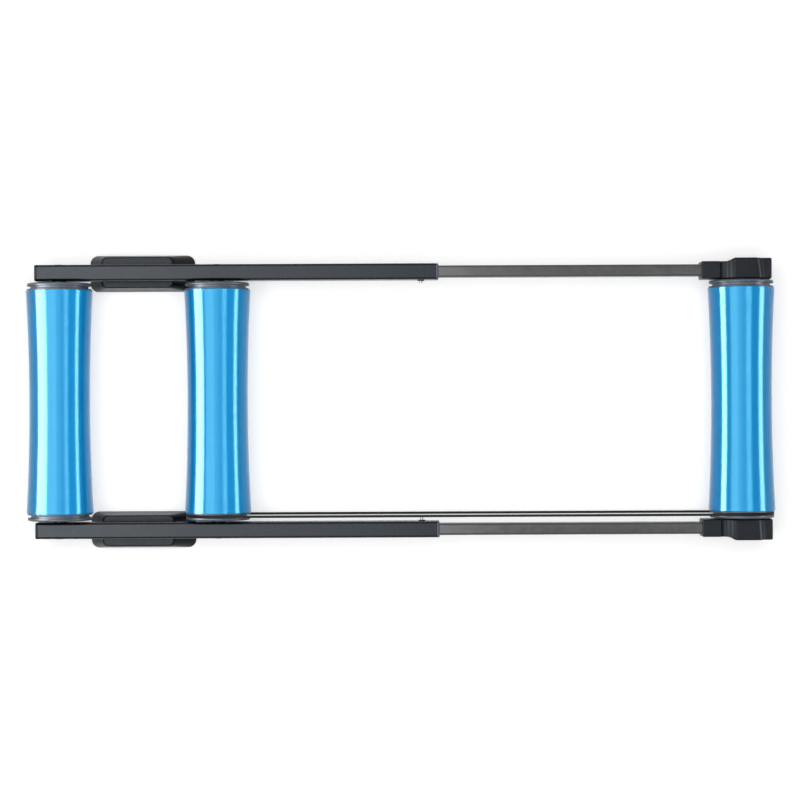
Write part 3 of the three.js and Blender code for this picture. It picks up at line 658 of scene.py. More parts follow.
def caps(name):
    """The drum's end caps, each with a spigot, a belt groove, a hollow rim, ribs and a bearing seat."""
    half, radius_at = drum_curve(name)
    centre = side_centre(*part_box(name + "_drum"))
    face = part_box(name + "_left_cap")[1].y
    bearing_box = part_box(name + "_left_bearing")
    spigot_end = half - CAP_SPIGOT_DEPTH
    spigot_clear = DRUM_WALL + CAP_SPIGOT_CLEARANCE
    spigot_radius = radius_at(half) - spigot_clear
    spigot_end_radius = radius_at(spigot_end) - spigot_clear
    spigot_inner = spigot_end_radius - CAP_SPIGOT_WALL
    belt_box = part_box("drive_belt")
    groove_centre = -(belt_box[0].y + belt_box[1].y) / 2
    rim_radius = GROOVE_FLOOR_RADIUS - CAP_RIM_WALL
    web_face = bearing_box[0].y - FIT_GAP
    web_back = web_face - CAP_WEB
    hub_face = face - CAP_HUB_RECESS
    seat_radius = (bearing_box[1].x - bearing_box[0].x) / 2 + FIT_GAP
    lip_face = half + FIT_GAP
    profile = [
        (spigot_inner, spigot_end),
        (spigot_end_radius, spigot_end),
        (spigot_radius, lip_face),
        (CAP_LIP_RADIUS, lip_face),
        (CAP_LIP_RADIUS, groove_centre - GROOVE_MOUTH_WIDTH / 2),
        (GROOVE_FLOOR_RADIUS, groove_centre - GROOVE_FLOOR_WIDTH / 2),
        (GROOVE_FLOOR_RADIUS, groove_centre + GROOVE_FLOOR_WIDTH / 2),
        (CAP_FLANGE_RADIUS, groove_centre + GROOVE_MOUTH_WIDTH / 2),
        (CAP_FLANGE_RADIUS, face - CAP_FLANGE_EDGE_WIDTH),
        (CAP_FLANGE_RADIUS - CAP_FLANGE_EDGE, face),
        (rim_radius, face),
        (rim_radius, web_face),
        (CAP_HUB_RADIUS, web_face),
        (CAP_HUB_RADIUS, hub_face),
        (seat_radius, hub_face),
        (seat_radius, web_face),
        (CAP_HOLE_RADIUS, web_face),
        (CAP_HOLE_RADIUS, web_back),
        (spigot_inner, web_back),
    ]
    cap = turned("cap", softened(profile, CAP_FLANGE_EDGE / 2), centre)
    bar = rounded_rectangle(
        rim_radius - seat_radius + CAP_RIB_THICKNESS, CAP_RIB_THICKNESS, FINE_EDGE,
        ((rim_radius + seat_radius) / 2, 0), EDGE_STEPS,
    )
    ribs = []
    for angle in turns(CAP_RIBS):
        turn = Matrix.Rotation(angle, 2)
        outline = [tuple(turn @ Vector(point) + Vector(centre)) for point in bar]
        ribs.append(extruded("rib", outline, at_y, web_face - CAP_WEB / 2, face - CAP_RIB_RECESS))
    merged(cap, *ribs)
    other_cap = mirror_image(cap, "cap")
    fitted(smoothed(cap), name + "_left_cap", "cap_grey", cap_grey)
    fitted(smoothed(other_cap), name + "_right_cap", "cap_grey", cap_grey)


def bearings(name):
    """Rings with a recessed shield, which has a material of its own."""
    low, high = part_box(name + "_left_bearing")
    centre = side_centre(*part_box(name + "_drum"))
    outer_radius = (high.x - low.x) / 2
    bore_radius = AXLE_JOURNAL_RADIUS + BEARING_BORE_CLEARANCE
    shield_face = high.y - BEARING_SHIELD_RECESS
    profile = [
        (bore_radius, low.y),
        (outer_radius, low.y),
        (outer_radius, high.y),
        (BEARING_SHIELD_OUTER, high.y),
        (BEARING_SHIELD_OUTER, shield_face),
        (BEARING_SHIELD_INNER, shield_face),
        (BEARING_SHIELD_INNER, high.y),
        (bore_radius, high.y),
    ]
    bearing = turned("bearing", softened(profile, FINE_EDGE), centre, RING_SEGMENTS)
    for polygon in bearing.data.polygons:
        middle = polygon.center
        radius = math.hypot(middle.x - centre[0], middle.z - centre[1])
        facing = polygon.normal.y > SIDE_FACE_SHARE
        between = BEARING_SHIELD_INNER < radius < BEARING_SHIELD_OUTER
        polygon.material_index = 1 if facing and between else 0
    for side, ring in zip(SIDES, (bearing, mirror_image(bearing, "bearing"))):
        # Fitting sets the material of every face to the first one, so the faces' materials are put back.
        indices = [polygon.material_index for polygon in ring.data.polygons]
        smoothed(ring)
        fitted(ring, f"{name}_{side}_bearing", "bearing_steel", bearing_steel, bearing_seal)
        ring.data.polygons.foreach_set("material_index", indices)


for roller_name in ROLLERS:
    drum(roller_name)
    caps(roller_name)
    bearings(roller_name)


# Axles

def axle_centre(name):
    return side_centre(*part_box(name + "_axle"))


def axle(name):
    low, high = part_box(name + "_axle")
    radius = (high.x - low.x) / 2
    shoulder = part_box(f"{name}_left_bearing")[0].y - FIT_GAP
    half = [
        (radius, shoulder - FINE_EDGE),
        (radius - FINE_EDGE, shoulder),
        (AXLE_JOURNAL_RADIUS, shoulder),
        (AXLE_JOURNAL_RADIUS, high.y - FINE_EDGE),
        (AXLE_JOURNAL_RADIUS - FINE_EDGE, high.y),
        (AXLE_TAP_RADIUS + FINE_EDGE, high.y),
        (AXLE_TAP_RADIUS, high.y - FINE_EDGE),
        (AXLE_TAP_RADIUS, high.y - AXLE_TAP_DEPTH),
        (0, high.y - AXLE_TAP_DEPTH),
    ]
    other_half = [(r, -y) for r, y in reversed(half)]
    bar = turned("axle", [*other_half, *half], axle_centre(name), SCREW_SEGMENTS)
    fitted(smoothed(bar), name + "_axle", "zinc_steel", zinc_steel)


for roller_name in ROLLERS:
    axle(roller_name)


# Outer rails, inner tubes and what closes their ends

tube_low, tube_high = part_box("left_inner_tube")
rail_low, rail_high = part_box("left_outer_rail")
rail_outer_face = rail_high.y
rail_centre = (rail_outer_face - RAIL_WIDTH / 2, (rail_low.z + rail_high.z) / 2)
rail_inner_face = rail_outer_face - RAIL_WIDTH


def axle_boss(name, wall_face):
    """The welded or moulded boss that carries the left end of an axle."""
    disc_face = rail_inner_face - BOSS_HEIGHT
    nose_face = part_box(f"{name}_left_bearing")[1].y + FIT_GAP
    pocket_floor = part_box(name + "_axle")[1].y + FIT_GAP
    pocket_radius = AXLE_JOURNAL_RADIUS + FIT_GAP
    profile = [
        (0, wall_face),
        (BOSS_RADIUS, wall_face),
        (BOSS_RADIUS, disc_face),
        (BOSS_NOSE_RADIUS, disc_face),
        (BOSS_NOSE_RADIUS, nose_face),
        (pocket_radius, nose_face),
        (pocket_radius, pocket_floor),
        (0, pocket_floor),
    ]
    fillets = softened(profile[1:-1], BOSS_FILLET, FILLET_STEPS)
    return turned("boss", [profile[0], *fillets, profile[-1]], axle_centre(name), RING_SEGMENTS)


def rail_section(inset):
    corner = max(RAIL_CORNER - inset, FINE_EDGE)
    return rounded_rectangle(RAIL_WIDTH - 2 * inset, RAIL_HEIGHT - 2 * inset, corner, rail_centre)


def tube_section(inset):
    width = tube_high.y - tube_low.y - 2 * inset
    height = tube_high.z - tube_low.z - 2 * inset
    return rounded_rectangle(width, height, max(TUBE_CORNER - inset, FINE_EDGE), rail_centre)


def pipe_with_edges(name, section, low_x, high_x, wall):
    """A straight pipe whose outer edges are broken at both ends."""
    rings = [
        (section(RAIL_EDGE), low_x),
        (section(0), low_x + RAIL_EDGE),
        (section(0), high_x - RAIL_EDGE),
        (section(RAIL_EDGE), high_x),
    ]
    return pipe_along_x(name, rings, section(wall))


def outer_rail():
    rail = pipe_with_edges("rail", rail_section, rail_low.x, rail_high.x, RAIL_WALL)
    wall_middle = rail_inner_face + RAIL_WALL / 2
    bosses = [axle_boss(name, wall_middle) for name in RAIL_AXLES]
    screw_low, screw_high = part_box("left_lock_screw")
    hole = (screw_high.x - screw_low.x) / 2 + FIT_GAP
    seat_face = rail_inner_face - LOCK_BOSS_HEIGHT
    seat_profile = softened([
        (hole, wall_middle),
        (LOCK_BOSS_RADIUS, wall_middle),
        (LOCK_BOSS_RADIUS, seat_face),
        (hole, seat_face),
    ], FINE_EDGE)
    seat = turned("seat", seat_profile, side_centre(screw_low, screw_high), SCREW_SEGMENTS)
    merged(rail, *bosses, seat)
    fitted_pair(rail, "outer_rail", "rail_paint", rail_paint)


def inner_tube():
    tube = pipe_with_edges("tube", tube_section, tube_low.x, tube_high.x, TUBE_WALL)
    fitted_pair(tube, "inner_tube", "tube_paint", tube_paint)


def rear_plug():
    low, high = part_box("left_rear_plug")
    flange_face = rail_low.x - FIT_GAP
    rings = [
        at_x(rail_section(inset), low.x + from_face)
        for inset, from_face in reversed(quarter_round(PLUG_DOME))
    ]
    rings.append(at_x(rail_section(0), flange_face))
    flange = lofted("plug", rings)
    spigot = extruded("spigot", rail_section(RAIL_WALL + FIT_GAP), at_x, flange_face, high.x)
    fitted_pair(merged(flange, spigot), "rear_plug", "black_plastic", black_plastic)


def front_collar():
    low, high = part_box("left_front_collar")
    flange_face = rail_high.x + FIT_GAP
    rings = [
        (rail_section(RAIL_WALL + FIT_GAP), low.x),
        (rail_section(RAIL_WALL + FIT_GAP), flange_face),
        (rail_section(0), flange_face),
    ]
    for inset, from_face in quarter_round(COLLAR_EDGE):
        rings.append((rail_section(inset), high.x - from_face))
    collar = pipe_along_x("collar", rings, tube_section(-FIT_GAP))
    fitted_pair(collar, "front_collar", "cap_grey", cap_grey)


outer_rail()
inner_tube()
rear_plug()
front_collar()
for side_name in SIDES:
    dressed(side_name + "_tube_glide", "black_plastic", black_plastic, FINE_EDGE)


def hole_plug(name):
    low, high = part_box(f"left_{name}_hole_plug")
    radius = (high.x - low.x) / 2
    shank_radius = radius * HOLE_PLUG_SHANK_SHARE
    flange_face = rail_outer_face + FIT_GAP
    profile = [
        (0, low.y),
        (shank_radius, low.y),
        (shank_radius, flange_face),
        (radius, flange_face),
        (radius * HOLE_PLUG_RIM_SHARE, high.y - FINE_EDGE),
        (radius * HOLE_PLUG_FACE_SHARE, high.y),
        (0, high.y),
    ]
    plug = turned("hole_plug", profile, side_centre(low, high), SCREW_SEGMENTS)
    fitted_pair(plug, name + "_hole_plug", "black_plastic", black_plastic)


for plug_name in RAIL_AXLES:
    hole_plug(plug_name)


# Rear feet

foot_low, foot_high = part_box("left_rear_foot")
foot_centre = plan_centre(foot_low, foot_high)


def foot_outline(share, inset):
    """The foot's outline at this share of the way from its base to its top."""
    base_length = foot_high.x - foot_low.x
    base_width = foot_high.y - foot_low.y
    length = base_length + (FOOT_TOP_LENGTH - base_length) * share - 2 * inset
    width = base_width + (FOOT_TOP_WIDTH - base_width) * share - 2 * inset
    corner = FOOT_BASE_CORNER + (FOOT_TOP_CORNER - FOOT_BASE_CORNER) * share - inset
    centre = (foot_centre[0] + FOOT_TOP_SHIFT * share, foot_centre[1])
    return rounded_rectangle(length, width, corner, centre)


def pad_outline(node, margin=0.0):
    low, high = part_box(node)
    return rounded_rectangle(
        high.x - low.x + 2 * margin, high.y - low.y + 2 * margin, PAD_CORNER + margin,
        plan_centre(low, high),
    )


def pad_recess(node, base):
    return extruded("recess", pad_outline(node, FIT_GAP), at_z, base - OVERRUN, base + PAD_RECESS)


def foot_pocket(screws, floor, roof):
    """What is hollow below the rail: a pocket less its spine, its ribs and the bosses of its screws."""
    below = floor - OVERRUN
    above = roof + OVERRUN
    corner = FOOT_RIB * RIB_CORNER_SHARE
    opening = rounded_rectangle(
        FOOT_POCKET_LENGTH, FOOT_POCKET_WIDTH, FOOT_POCKET_CORNER, foot_centre,
    )
    # Spine and ribs are twice as long as the pocket, so that they cross it wherever they lie.
    spine_centre = (foot_centre[0], rail_centre[0])
    spine = rounded_rectangle(2 * FOOT_POCKET_LENGTH, FOOT_RIB, corner, spine_centre, EDGE_STEPS)
    kept = [extruded("spine", spine, at_z, below, above)]
    for screw in screws:
        rib_centre = (screw[0], foot_centre[1])
        rib = rounded_rectangle(FOOT_RIB, 2 * FOOT_POCKET_WIDTH, corner, rib_centre, EDGE_STEPS)
        kept.append(extruded("rib", rib, at_z, below, above))
        kept.append(rod(screw, below, above, FOOT_BOSS_RADIUS, upright=True))
    return combined(extruded("pocket", opening, at_z, floor, roof), "DIFFERENCE", *kept)


def rear_foot():
    height = foot_high.z - foot_low.z
    rings = [at_z(foot_outline(0, 0), foot_low.z)]
    for inset, from_face in quarter_round(FOOT_EDGE):
        level = foot_high.z - from_face
        rings.append(at_z(foot_outline((level - foot_low.z) / height, inset), level))
    foot = lofted("foot", rings)

    floor = foot_low.z - OVERRUN
    roof = rail_low.z - FIT_GAP - FOOT_POCKET_ROOF
    ends = ("rear", "front")
    screws = [plan_centre(*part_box("left_foot_screw_" + end)) for end in ends]
    tools = [
        extruded("saddle", rail_section(-FIT_GAP), at_x, foot_low.x - OVERRUN, foot_high.x + OVERRUN),
        foot_pocket(screws, floor, roof),
    ]
    for screw in screws:
        tools.append(rod(screw, floor, foot_high.z, SCREW_HOLE_RADIUS, upright=True))
        tools.append(rod(screw, floor, FOOT_SCREW_SEAT, SCREW_HEAD_HOLE_RADIUS, upright=True))
    tools += [pad_recess("left_foot_pad_" + end, foot_low.z) for end in ends]
    combined(foot, "DIFFERENCE", *tools)
    fitted_pair(foot, "rear_foot", "black_plastic", foot_plastic, edge=MOULD_EDGE)


def rubber_pad(node):
    low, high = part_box("left_" + node)
    pad = lofted("pad", [
        at_z(pad_outline("left_" + node, -PAD_EDGE), low.z),
        at_z(pad_outline("left_" + node), low.z + PAD_EDGE),
        at_z(pad_outline("left_" + node), high.z),
    ])
    fitted_pair(pad, node, "pad_rubber", pad_rubber)


rear_foot()
for pad_name in ("foot_pad_rear", "foot_pad_front", "front_pad"):
    rubber_pad(pad_name)


# Front brackets

front_axle = axle_centre("front")
axle_x, axle_z = front_axle
bracket_low, bracket_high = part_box("left_front_bracket")
bracket_outer_face = bracket_high.y
bracket_inner_face = rail_centre[0] - SLEEVE_WIDTH / 2
sleeve_outer_face = rail_centre[0] + SLEEVE_WIDTH / 2
sleeve_rear = axle_x - SLEEVE_REACH
sleeve_top = axle_z + RAIL_HEIGHT / 2
sleeve_bottom = axle_z - RAIL_HEIGHT / 2
block_front = axle_x + BLOCK_FRONT
block_top = bracket_high.z
nose_top = block_top - NOSE_DROP


def bracket_side():
    """Outline in the view from the side, forwards along the bottom and back along the top."""
    base = bracket_low.z
    sleeve_front = sleeve_rear + SLEEVE_LENGTH
    saddle_front = sleeve_front + SADDLE_LENGTH
    saddle_floor = sleeve_top - SADDLE_DROP
    top_rear = axle_x - BLOCK_TOP_REAR
    nose_rear = axle_x + NOSE_REACH + OVERRUN
    waist = (axle_x - LEG_WAIST_REAR, LEG_WAIST_HEIGHT)
    rise = ((saddle_front + top_rear) / 2, (block_top + saddle_floor) / 2)

    side = [(sleeve_rear, sleeve_bottom), (axle_x - GUSSET_REACH, sleeve_bottom)]
    side += curved(side[-1], (waist[0], sleeve_bottom), waist)
    side += [(axle_x - LEG_BASE_REAR, base), (axle_x + LEG_BASE_FRONT, base)]
    side += [(block_front, nose_top - NOSE_RADIUS)]
    side += curved(side[-1], (block_front, nose_top), (block_front - NOSE_RADIUS, nose_top))
    side += [(nose_rear, nose_top), (nose_rear, block_top), (top_rear, block_top)]
    side += curved(side[-1], ((rise[0] + top_rear) / 2, block_top), rise)
    side += curved(side[-1], ((rise[0] + saddle_front) / 2, saddle_floor), (saddle_front, saddle_floor))
    side += curved(side[-1], (sleeve_front, saddle_floor), (sleeve_front, sleeve_top))
    return [*side, (sleeve_rear, sleeve_top)]


def bracket_plan():
    """Outline in the view from above, forwards along the inner face and back along the outer one."""
    inner = bracket_inner_face
    outer = bracket_outer_face
    ramp_rear = axle_x - BLOCK_RAMP_REAR
    ramp_front = axle_x - BLOCK_RAMP_FRONT
    ramp_middle = (ramp_rear + ramp_front) / 2
    rear_corner = (sleeve_rear, sleeve_outer_face)

    plan = [(sleeve_rear + SLEEVE_CORNER, inner), (block_front - BLOCK_CORNER, inner)]
    plan += curved(plan[-1], (block_front, inner), (block_front, inner + BLOCK_CORNER))
    plan += [(block_front, outer - BLOCK_CORNER)]
    plan += curved(plan[-1], (block_front, outer), (block_front - BLOCK_CORNER, outer))
    plan += [(ramp_front, outer)]
    plan += curved(plan[-1], (ramp_middle, outer), (ramp_rear, sleeve_outer_face))
    plan += [(sleeve_rear + SLEEVE_CORNER, sleeve_outer_face)]
    plan += curved(plan[-1], rear_corner, (sleeve_rear, sleeve_outer_face - SLEEVE_CORNER))
    plan += [(sleeve_rear, inner + SLEEVE_CORNER)]
    return plan + curved(plan[-1], (sleeve_rear, inner), plan[0])[:-1]


def crease_tool(skew):
    """What is cut off above the slope and the nose. The slope's rear edge is askew by this much."""
    width = bracket_outer_face - bracket_inner_face
    middle = (bracket_outer_face + bracket_inner_face) / 2
    rings = []
    for across in (bracket_inner_face - OVERRUN, bracket_outer_face + OVERRUN):
        start = axle_x + CREASE_REACH + skew * (middle - across) / width
        past_nose = start + BLOCK_FRONT
        rings.append([
            (start, across, block_top),
            (start + CREASE_RUN, across, block_top - CREASE_DROP),
            (start + NOSE_REACH - CREASE_REACH, across, nose_top),
            (past_nose, across, nose_top),
            (past_nose, across, block_top + OVERRUN),
            (start, across, block_top + OVERRUN),
        ])
    return lofted("crease", rings)


def leg_pocket():
    """What is hollow in the leg's outer face: a pocket less its rib."""
    height = LEG_POCKET_TOP - LEG_POCKET_BOTTOM
    length = LEG_POCKET_FRONT + LEG_POCKET_REAR
    floor = bracket_outer_face - LEG_POCKET_DEPTH
    rib_face = bracket_outer_face - LEG_RIB_RECESS
    rib_corner = LEG_RIB * RIB_CORNER_SHARE
    centre = (
        axle_x + (LEG_POCKET_FRONT - LEG_POCKET_REAR) / 2, (LEG_POCKET_TOP + LEG_POCKET_BOTTOM) / 2,
    )
    opening = rounded_rectangle(length, height, LEG_POCKET_CORNER, centre)
    rib = rounded_rectangle(LEG_RIB, height + OVERRUN, rib_corner, centre, EDGE_STEPS)
    pocket = extruded("pocket", opening, at_y, floor, bracket_outer_face + OVERRUN)
    return combined(pocket, "DIFFERENCE", extruded("rib", rib, at_y, floor - OVERRUN, rib_face))


def front_bracket(crease_skew):
    """The bracket for the left side, with its crease askew by this much."""
    inner = bracket_inner_face
    outer = bracket_outer_face
    base = bracket_low.z
    bracket = extruded("bracket", bracket_side(), at_y, inner - OVERRUN, outer + OVERRUN)
    plan = extruded("plan", bracket_plan(), at_z, base - OVERRUN, block_top + OVERRUN)
    combined(bracket, "INTERSECT", plan)
    combined(bracket, "DIFFERENCE", crease_tool(crease_skew))
    edges_rounded(bracket, BRACKET_EDGE, FILLET_STEPS, limited=False)
    combined(bracket, "UNION", axle_boss("front", inner + OVERRUN))

    axle_pocket_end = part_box("front_axle")[1].y + FIT_GAP
    tube_end = sleeve_rear + SLEEVE_DEPTH
    sleeve_screw = (axle_x - SLEEVE_SCREW_REACH, rail_centre[0])
    combined(
        bracket, "DIFFERENCE",
        extruded("bore", tube_section(-FIT_GAP), at_x, sleeve_rear - OVERRUN, tube_end),
        rod(front_axle, inner - 2 * OVERRUN, axle_pocket_end, AXLE_JOURNAL_RADIUS + FIT_GAP),
        rod(front_axle, axle_pocket_end - OVERRUN, outer, SCREW_HOLE_RADIUS),
        rod(front_axle, BRACKET_SCREW_SEAT, outer + OVERRUN, BRACKET_SCREW_HOLE_RADIUS),
        leg_pocket(),
        pad_recess("left_front_pad", base),
        rod(sleeve_screw, sleeve_bottom - OVERRUN, axle_z, SCREW_HOLE_RADIUS, upright=True),
    )
    return bracket


left_bracket = front_bracket(LEFT_CREASE_SKEW)
right_pattern = front_bracket(RIGHT_CREASE_SKEW)
right_bracket = mirror_image(right_pattern, "right_bracket")
bpy.data.objects.remove(right_pattern)
for side_name, side_bracket in zip(SIDES, (left_bracket, right_bracket)):
    smoothed(side_bracket, MOULD_EDGE)
    fitted(side_bracket, side_name + "_front_bracket", "black_plastic", black_plastic)


# Screws

def socket_tool(centre, low, high, radius):
    """A hexagon to cut into a screw's end."""
    outline = [
        (centre[0] + radius * math.cos(angle), centre[1] + radius * math.sin(angle))
        for angle in turns(SOCKET_SIDES)
    ]
    return extruded("socket", outline, at_y, low, high)


def threaded(radius, low, high):
    """Profile points of a thread from low to high. Its ridges are rings, not a helix."""
    count = max(int((high - low) / THREAD_PITCH), 1)
    step = (high - low) / count
    points = [(radius - THREAD_DEPTH, low)]
    for i in range(count):
        points.append((radius, low + step * i + step / 2))
        points.append((radius - THREAD_DEPTH, low + step * (i + 1)))
    return points


def lock_screw():
    low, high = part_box("left_lock_screw")
    centre = side_centre(low, high)
    radius = (high.x - low.x) / 2
    profile = [
        (0, low.y),
        (radius - SCREW_EDGE, low.y),
        *threaded(radius, low.y + FINE_EDGE, high.y - LOCK_TIP_LENGTH),
        (LOCK_TIP_RADIUS, high.y),
        (0, high.y),
    ]
    screw = turned("lock_screw", profile, centre, SCREW_SEGMENTS)
    socket_floor = low.y + LOCK_SOCKET_DEPTH
    combined(screw, "DIFFERENCE", socket_tool(centre, low.y - OVERRUN, socket_floor, LOCK_SOCKET_RADIUS))
    fitted_pair(screw, "lock_screw", "zinc_steel", zinc_steel)


def axle_screw(name):
    """A socket screw: countersunk in the rails, with a cylindrical head in the front bracket."""
    low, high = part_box(f"left_{name}_axle_screw")
    centre = side_centre(low, high)
    head_radius = (high.x - low.x) / 2
    if name in RAIL_AXLES:
        seat = high.y - COUNTERSINK_DEPTH
        head = [(head_radius, high.y - FINE_EDGE), (head_radius, high.y)]
    else:
        seat = BRACKET_SCREW_SEAT + FIT_GAP
        rim = high.y - SCREW_EDGE
        head = [(head_radius, seat), (head_radius, rim), (head_radius - SCREW_EDGE, high.y)]
    profile = [(0, low.y), *threaded(AXLE_SCREW_RADIUS, low.y, seat), *head, (0, high.y)]
    screw = turned("axle_screw", profile, centre, SCREW_SEGMENTS)
    socket = socket_tool(centre, high.y - SOCKET_DEPTH, high.y + OVERRUN, SOCKET_RADIUS)
    combined(screw, "DIFFERENCE", socket)
    fitted_pair(screw, name + "_axle_screw", "zinc_steel", zinc_steel)


def upright_screw(node):
    """A pan-head screw driven in from below, with a cross recess."""
    low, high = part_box("left_" + node)
    centre = plan_centre(low, high)
    head_radius = (high.x - low.x) / 2
    seat = low.z + PAN_HEAD_HEIGHT
    dome = curved((0, low.z), (head_radius, low.z), (head_radius, seat))
    profile = [(0, low.z), *dome, *threaded(PAN_SCREW_RADIUS, seat, high.z), (0, high.z)]
    screw = turned("screw", profile, centre, SCREW_SEGMENTS, upright=True)
    for width, length in ((CROSS_WIDTH, CROSS_LENGTH), (CROSS_LENGTH, CROSS_WIDTH)):
        slit = rounded_rectangle(width, length, FINE_EDGE, centre, EDGE_STEPS)
        slit_tool = extruded("slit", slit, at_z, low.z - OVERRUN, low.z + CROSS_DEPTH)
        combined(screw, "DIFFERENCE", slit_tool)
    fitted_pair(screw, node, "zinc_steel", zinc_steel)


lock_screw()
for roller_name in ROLLERS:
    axle_screw(roller_name)
for screw_name in ("foot_screw_rear", "foot_screw_front", "sleeve_screw"):
    upright_screw(screw_name)


# Drive belt

def drive_belt():
    low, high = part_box("drive_belt")
    offset = (low.y + high.y) / 2
    cord_radius = (high.y - low.y) / 2
    rear_x, axle_z = axle_centre("middle")
    front_x = axle_centre("front")[0]
    pitch_radius = high.z - axle_z - cord_radius
    path = []
    # Round the front drum and back along the top, then round the middle drum and forwards below
    for centre_x, other_x, side in ((front_x, rear_x, 1), (rear_x, front_x, -1)):
        for step in range(BELT_WRAP_STEPS + 1):
            angle = math.pi * step / BELT_WRAP_STEPS - side * math.pi / 2
            outward = Vector((math.cos(angle), 0, math.sin(angle)))
            path.append((Vector((centre_x, offset, axle_z)) + outward * pitch_radius, outward))
        outward = Vector((0, 0, side))
        for step in range(1, BELT_RUN_STEPS):
            x = centre_x + (other_x - centre_x) * step / BELT_RUN_STEPS
            path.append((Vector((x, offset, axle_z)) + outward * pitch_radius, outward))
    across = Vector((0, 1, 0))
    rings = []
    for centre, outward in path:
        rings.append([
            centre + cord_radius * (outward * math.cos(turn) + across * math.sin(turn))
            for turn in turns(BELT_SIDES)
        ])
    belt = lofted("belt", rings, endless=True)
    belt.data.shade_smooth()
    belt.name = "drive_belt_look"
    belt.data.materials.append(belt_cord)
    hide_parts("drive_belt")
    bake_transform(belt)


drive_belt()


# Floor, lights and camera

def seen_directly(tree):
    """1 for rays from the camera and for rays in reflections and glass, otherwise 0."""
    path = tree.nodes.new("ShaderNodeLightPath")
    value = path.outputs["Is Camera Ray"]
    for kind in ("Is Glossy Ray", "Is Transmission Ray"):
        larger = tree.nodes.new("ShaderNodeMath")
        larger.operation = "MAXIMUM"
        tree.links.new(value, larger.inputs[0])
        tree.links.new(path.outputs[kind], larger.inputs[1])
        value = larger.outputs[0]
    return value


def rising_with_distance(tree):
    """The floor's lift: small round the rollers, so that it shows their shadow, and larger far out."""
    coordinates = tree.nodes.new("ShaderNodeTexCoord")
    distance = tree.nodes.new("ShaderNodeVectorMath")
    distance.operation = "LENGTH"
    tree.links.new(coordinates.outputs["Object"], distance.inputs[0])
    rise = tree.nodes.new("ShaderNodeMapRange")
    rise.inputs["From Min"].default_value = FLOOR_NEAR
    rise.inputs["From Max"].default_value = FLOOR_FAR
    rise.inputs["To Min"].default_value = FLOOR_LIFT_NEAR
    rise.inputs["To Max"].default_value = FLOOR_LIFT_FAR
    tree.links.new(distance.outputs["Value"], rise.inputs["Value"])
    return rise.outputs[0]


def white_floor():
    mesh = bpy.data.meshes.new("floor")
    corners = [(-FLOOR_REACH, -FLOOR_REACH), (FLOOR_REACH, -FLOOR_REACH),
               (FLOOR_REACH, FLOOR_REACH), (-FLOOR_REACH, FLOOR_REACH)]
    mesh.from_pydata([(x, y, 0) for x, y in corners], [], [range(4)])
    floor = linked("floor", mesh)
    material = bpy.data.materials.new("floor_white")
    material.use_nodes = True
    tree = material.node_tree
    tree.nodes.clear()
    paint = tree.nodes.new("ShaderNodeBsdfDiffuse")
    paint.inputs["Color"].default_value = (FLOOR_PAINT, FLOOR_PAINT, FLOOR_PAINT, 1)
    glow = tree.nodes.new("ShaderNodeEmission")
    lift = tree.nodes.new("ShaderNodeMath")
    lift.operation = "MULTIPLY"
    tree.links.new(seen_directly(tree), lift.inputs[0])
    tree.links.new(rising_with_distance(tree), lift.inputs[1])
    tree.links.new(lift.outputs[0], glow.inputs["Strength"])
    both = tree.nodes.new("ShaderNodeAddShader")
    tree.links.new(paint.outputs[0], both.inputs[0])
    tree.links.new(glow.outputs[0], both.inputs[1])
    output = tree.nodes.new("ShaderNodeOutputMaterial")
    tree.links.new(both.outputs[0], output.inputs["Surface"])
    mesh.materials.append(material)


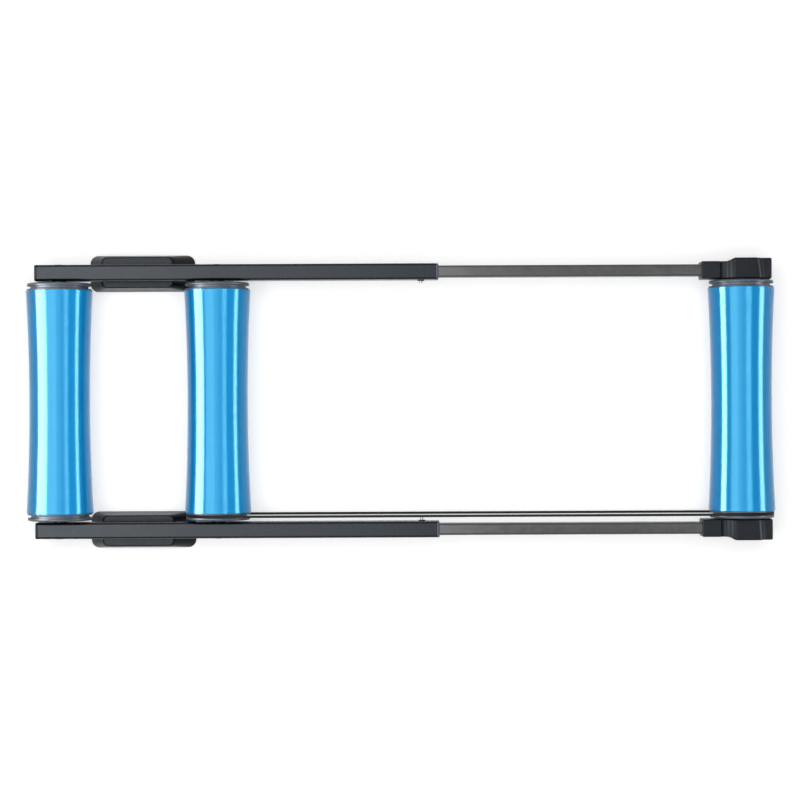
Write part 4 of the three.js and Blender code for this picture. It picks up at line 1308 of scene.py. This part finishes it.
def studio_world():
    world = bpy.data.worlds.new("studio")
    bpy.context.scene.world = world
    world.use_nodes = True
    tree = world.node_tree
    background = tree.nodes["Background"]
    strength = tree.nodes.new("ShaderNodeMapRange")
    strength.inputs["To Min"].default_value = WORLD_LIGHT
    strength.inputs["To Max"].default_value = WORLD_SEEN
    background.inputs["Color"].default_value = (1, 1, 1, 1)
    tree.links.new(seen_directly(tree), strength.inputs["Value"])
    tree.links.new(strength.outputs[0], background.inputs["Strength"])


def panel(name, centre, across, size, level, kind):
    """A one-sided lamp. With its width along X it shines down, along Y it shines to the side."""
    lamp = bpy.data.lights.new(name, "AREA")
    lamp.shape = "RECTANGLE"
    lamp.size, lamp.size_y = size
    lamp.energy = level * math.pi * size[0] * size[1]
    holder = linked(name, lamp)
    across = Vector(across)
    up = Vector((0, 1, 0)) if across.x else Vector((0, 0, 1))
    turn = Matrix((across, up, across.cross(up))).transposed()
    holder.matrix_world = Matrix.Translation(centre) @ turn.to_4x4()
    holder.visible_camera = False
    holder.visible_diffuse = kind == "diffuse"
    holder.visible_glossy = kind == "glossy"
    return holder


def walls_mirrored_by():
    """The round and sloping pieces. The long level tops would mirror a wall as white in a low view."""
    receivers = bpy.data.collections.new("walls_mirrored_by")
    for node in frame["nodes"]:
        if node.endswith(("_drum", "_cap", "_bracket")):
            receivers.objects.link(bpy.data.objects[node + "_look"])
    return receivers


white_floor()
studio_world()
overhead_size = (OVERHEAD_SIDE, OVERHEAD_SIDE)
panel("soft_overhead", OVERHEAD_PLACE, (1, 0, 0), overhead_size, OVERHEAD_LEVEL, "diffuse")
for panel_name, (middle_x, width, length, level) in CEILING_PANELS.items():
    panel(panel_name, (middle_x, 0, CEILING_HEIGHT), (1, 0, 0), (width, length), level, "glossy")
wall_receivers = walls_mirrored_by()
for panel_name, (wall_x, middle_z, length, height, level) in WALL_PANELS.items():
    across = (0, math.copysign(1, wall_x), 0)
    wall = panel(panel_name, (wall_x, 0, middle_z), across, (length, height), level, "glossy")
    wall.light_linking.receiver_collection = wall_receivers

camera_data = bpy.data.cameras.new("camera")
camera_data.sensor_width = SENSOR_WIDTH
camera_data.lens = CAMERA_LENS
camera_data.clip_end = CAMERA_REACH
camera = linked("camera", camera_data)
camera.location = CAMERA_PLACE
camera.rotation_euler = (0, 0, CAMERA_ROLL)
bpy.context.scene.camera = camera
bpy.context.scene.view_settings.view_transform = "Standard"
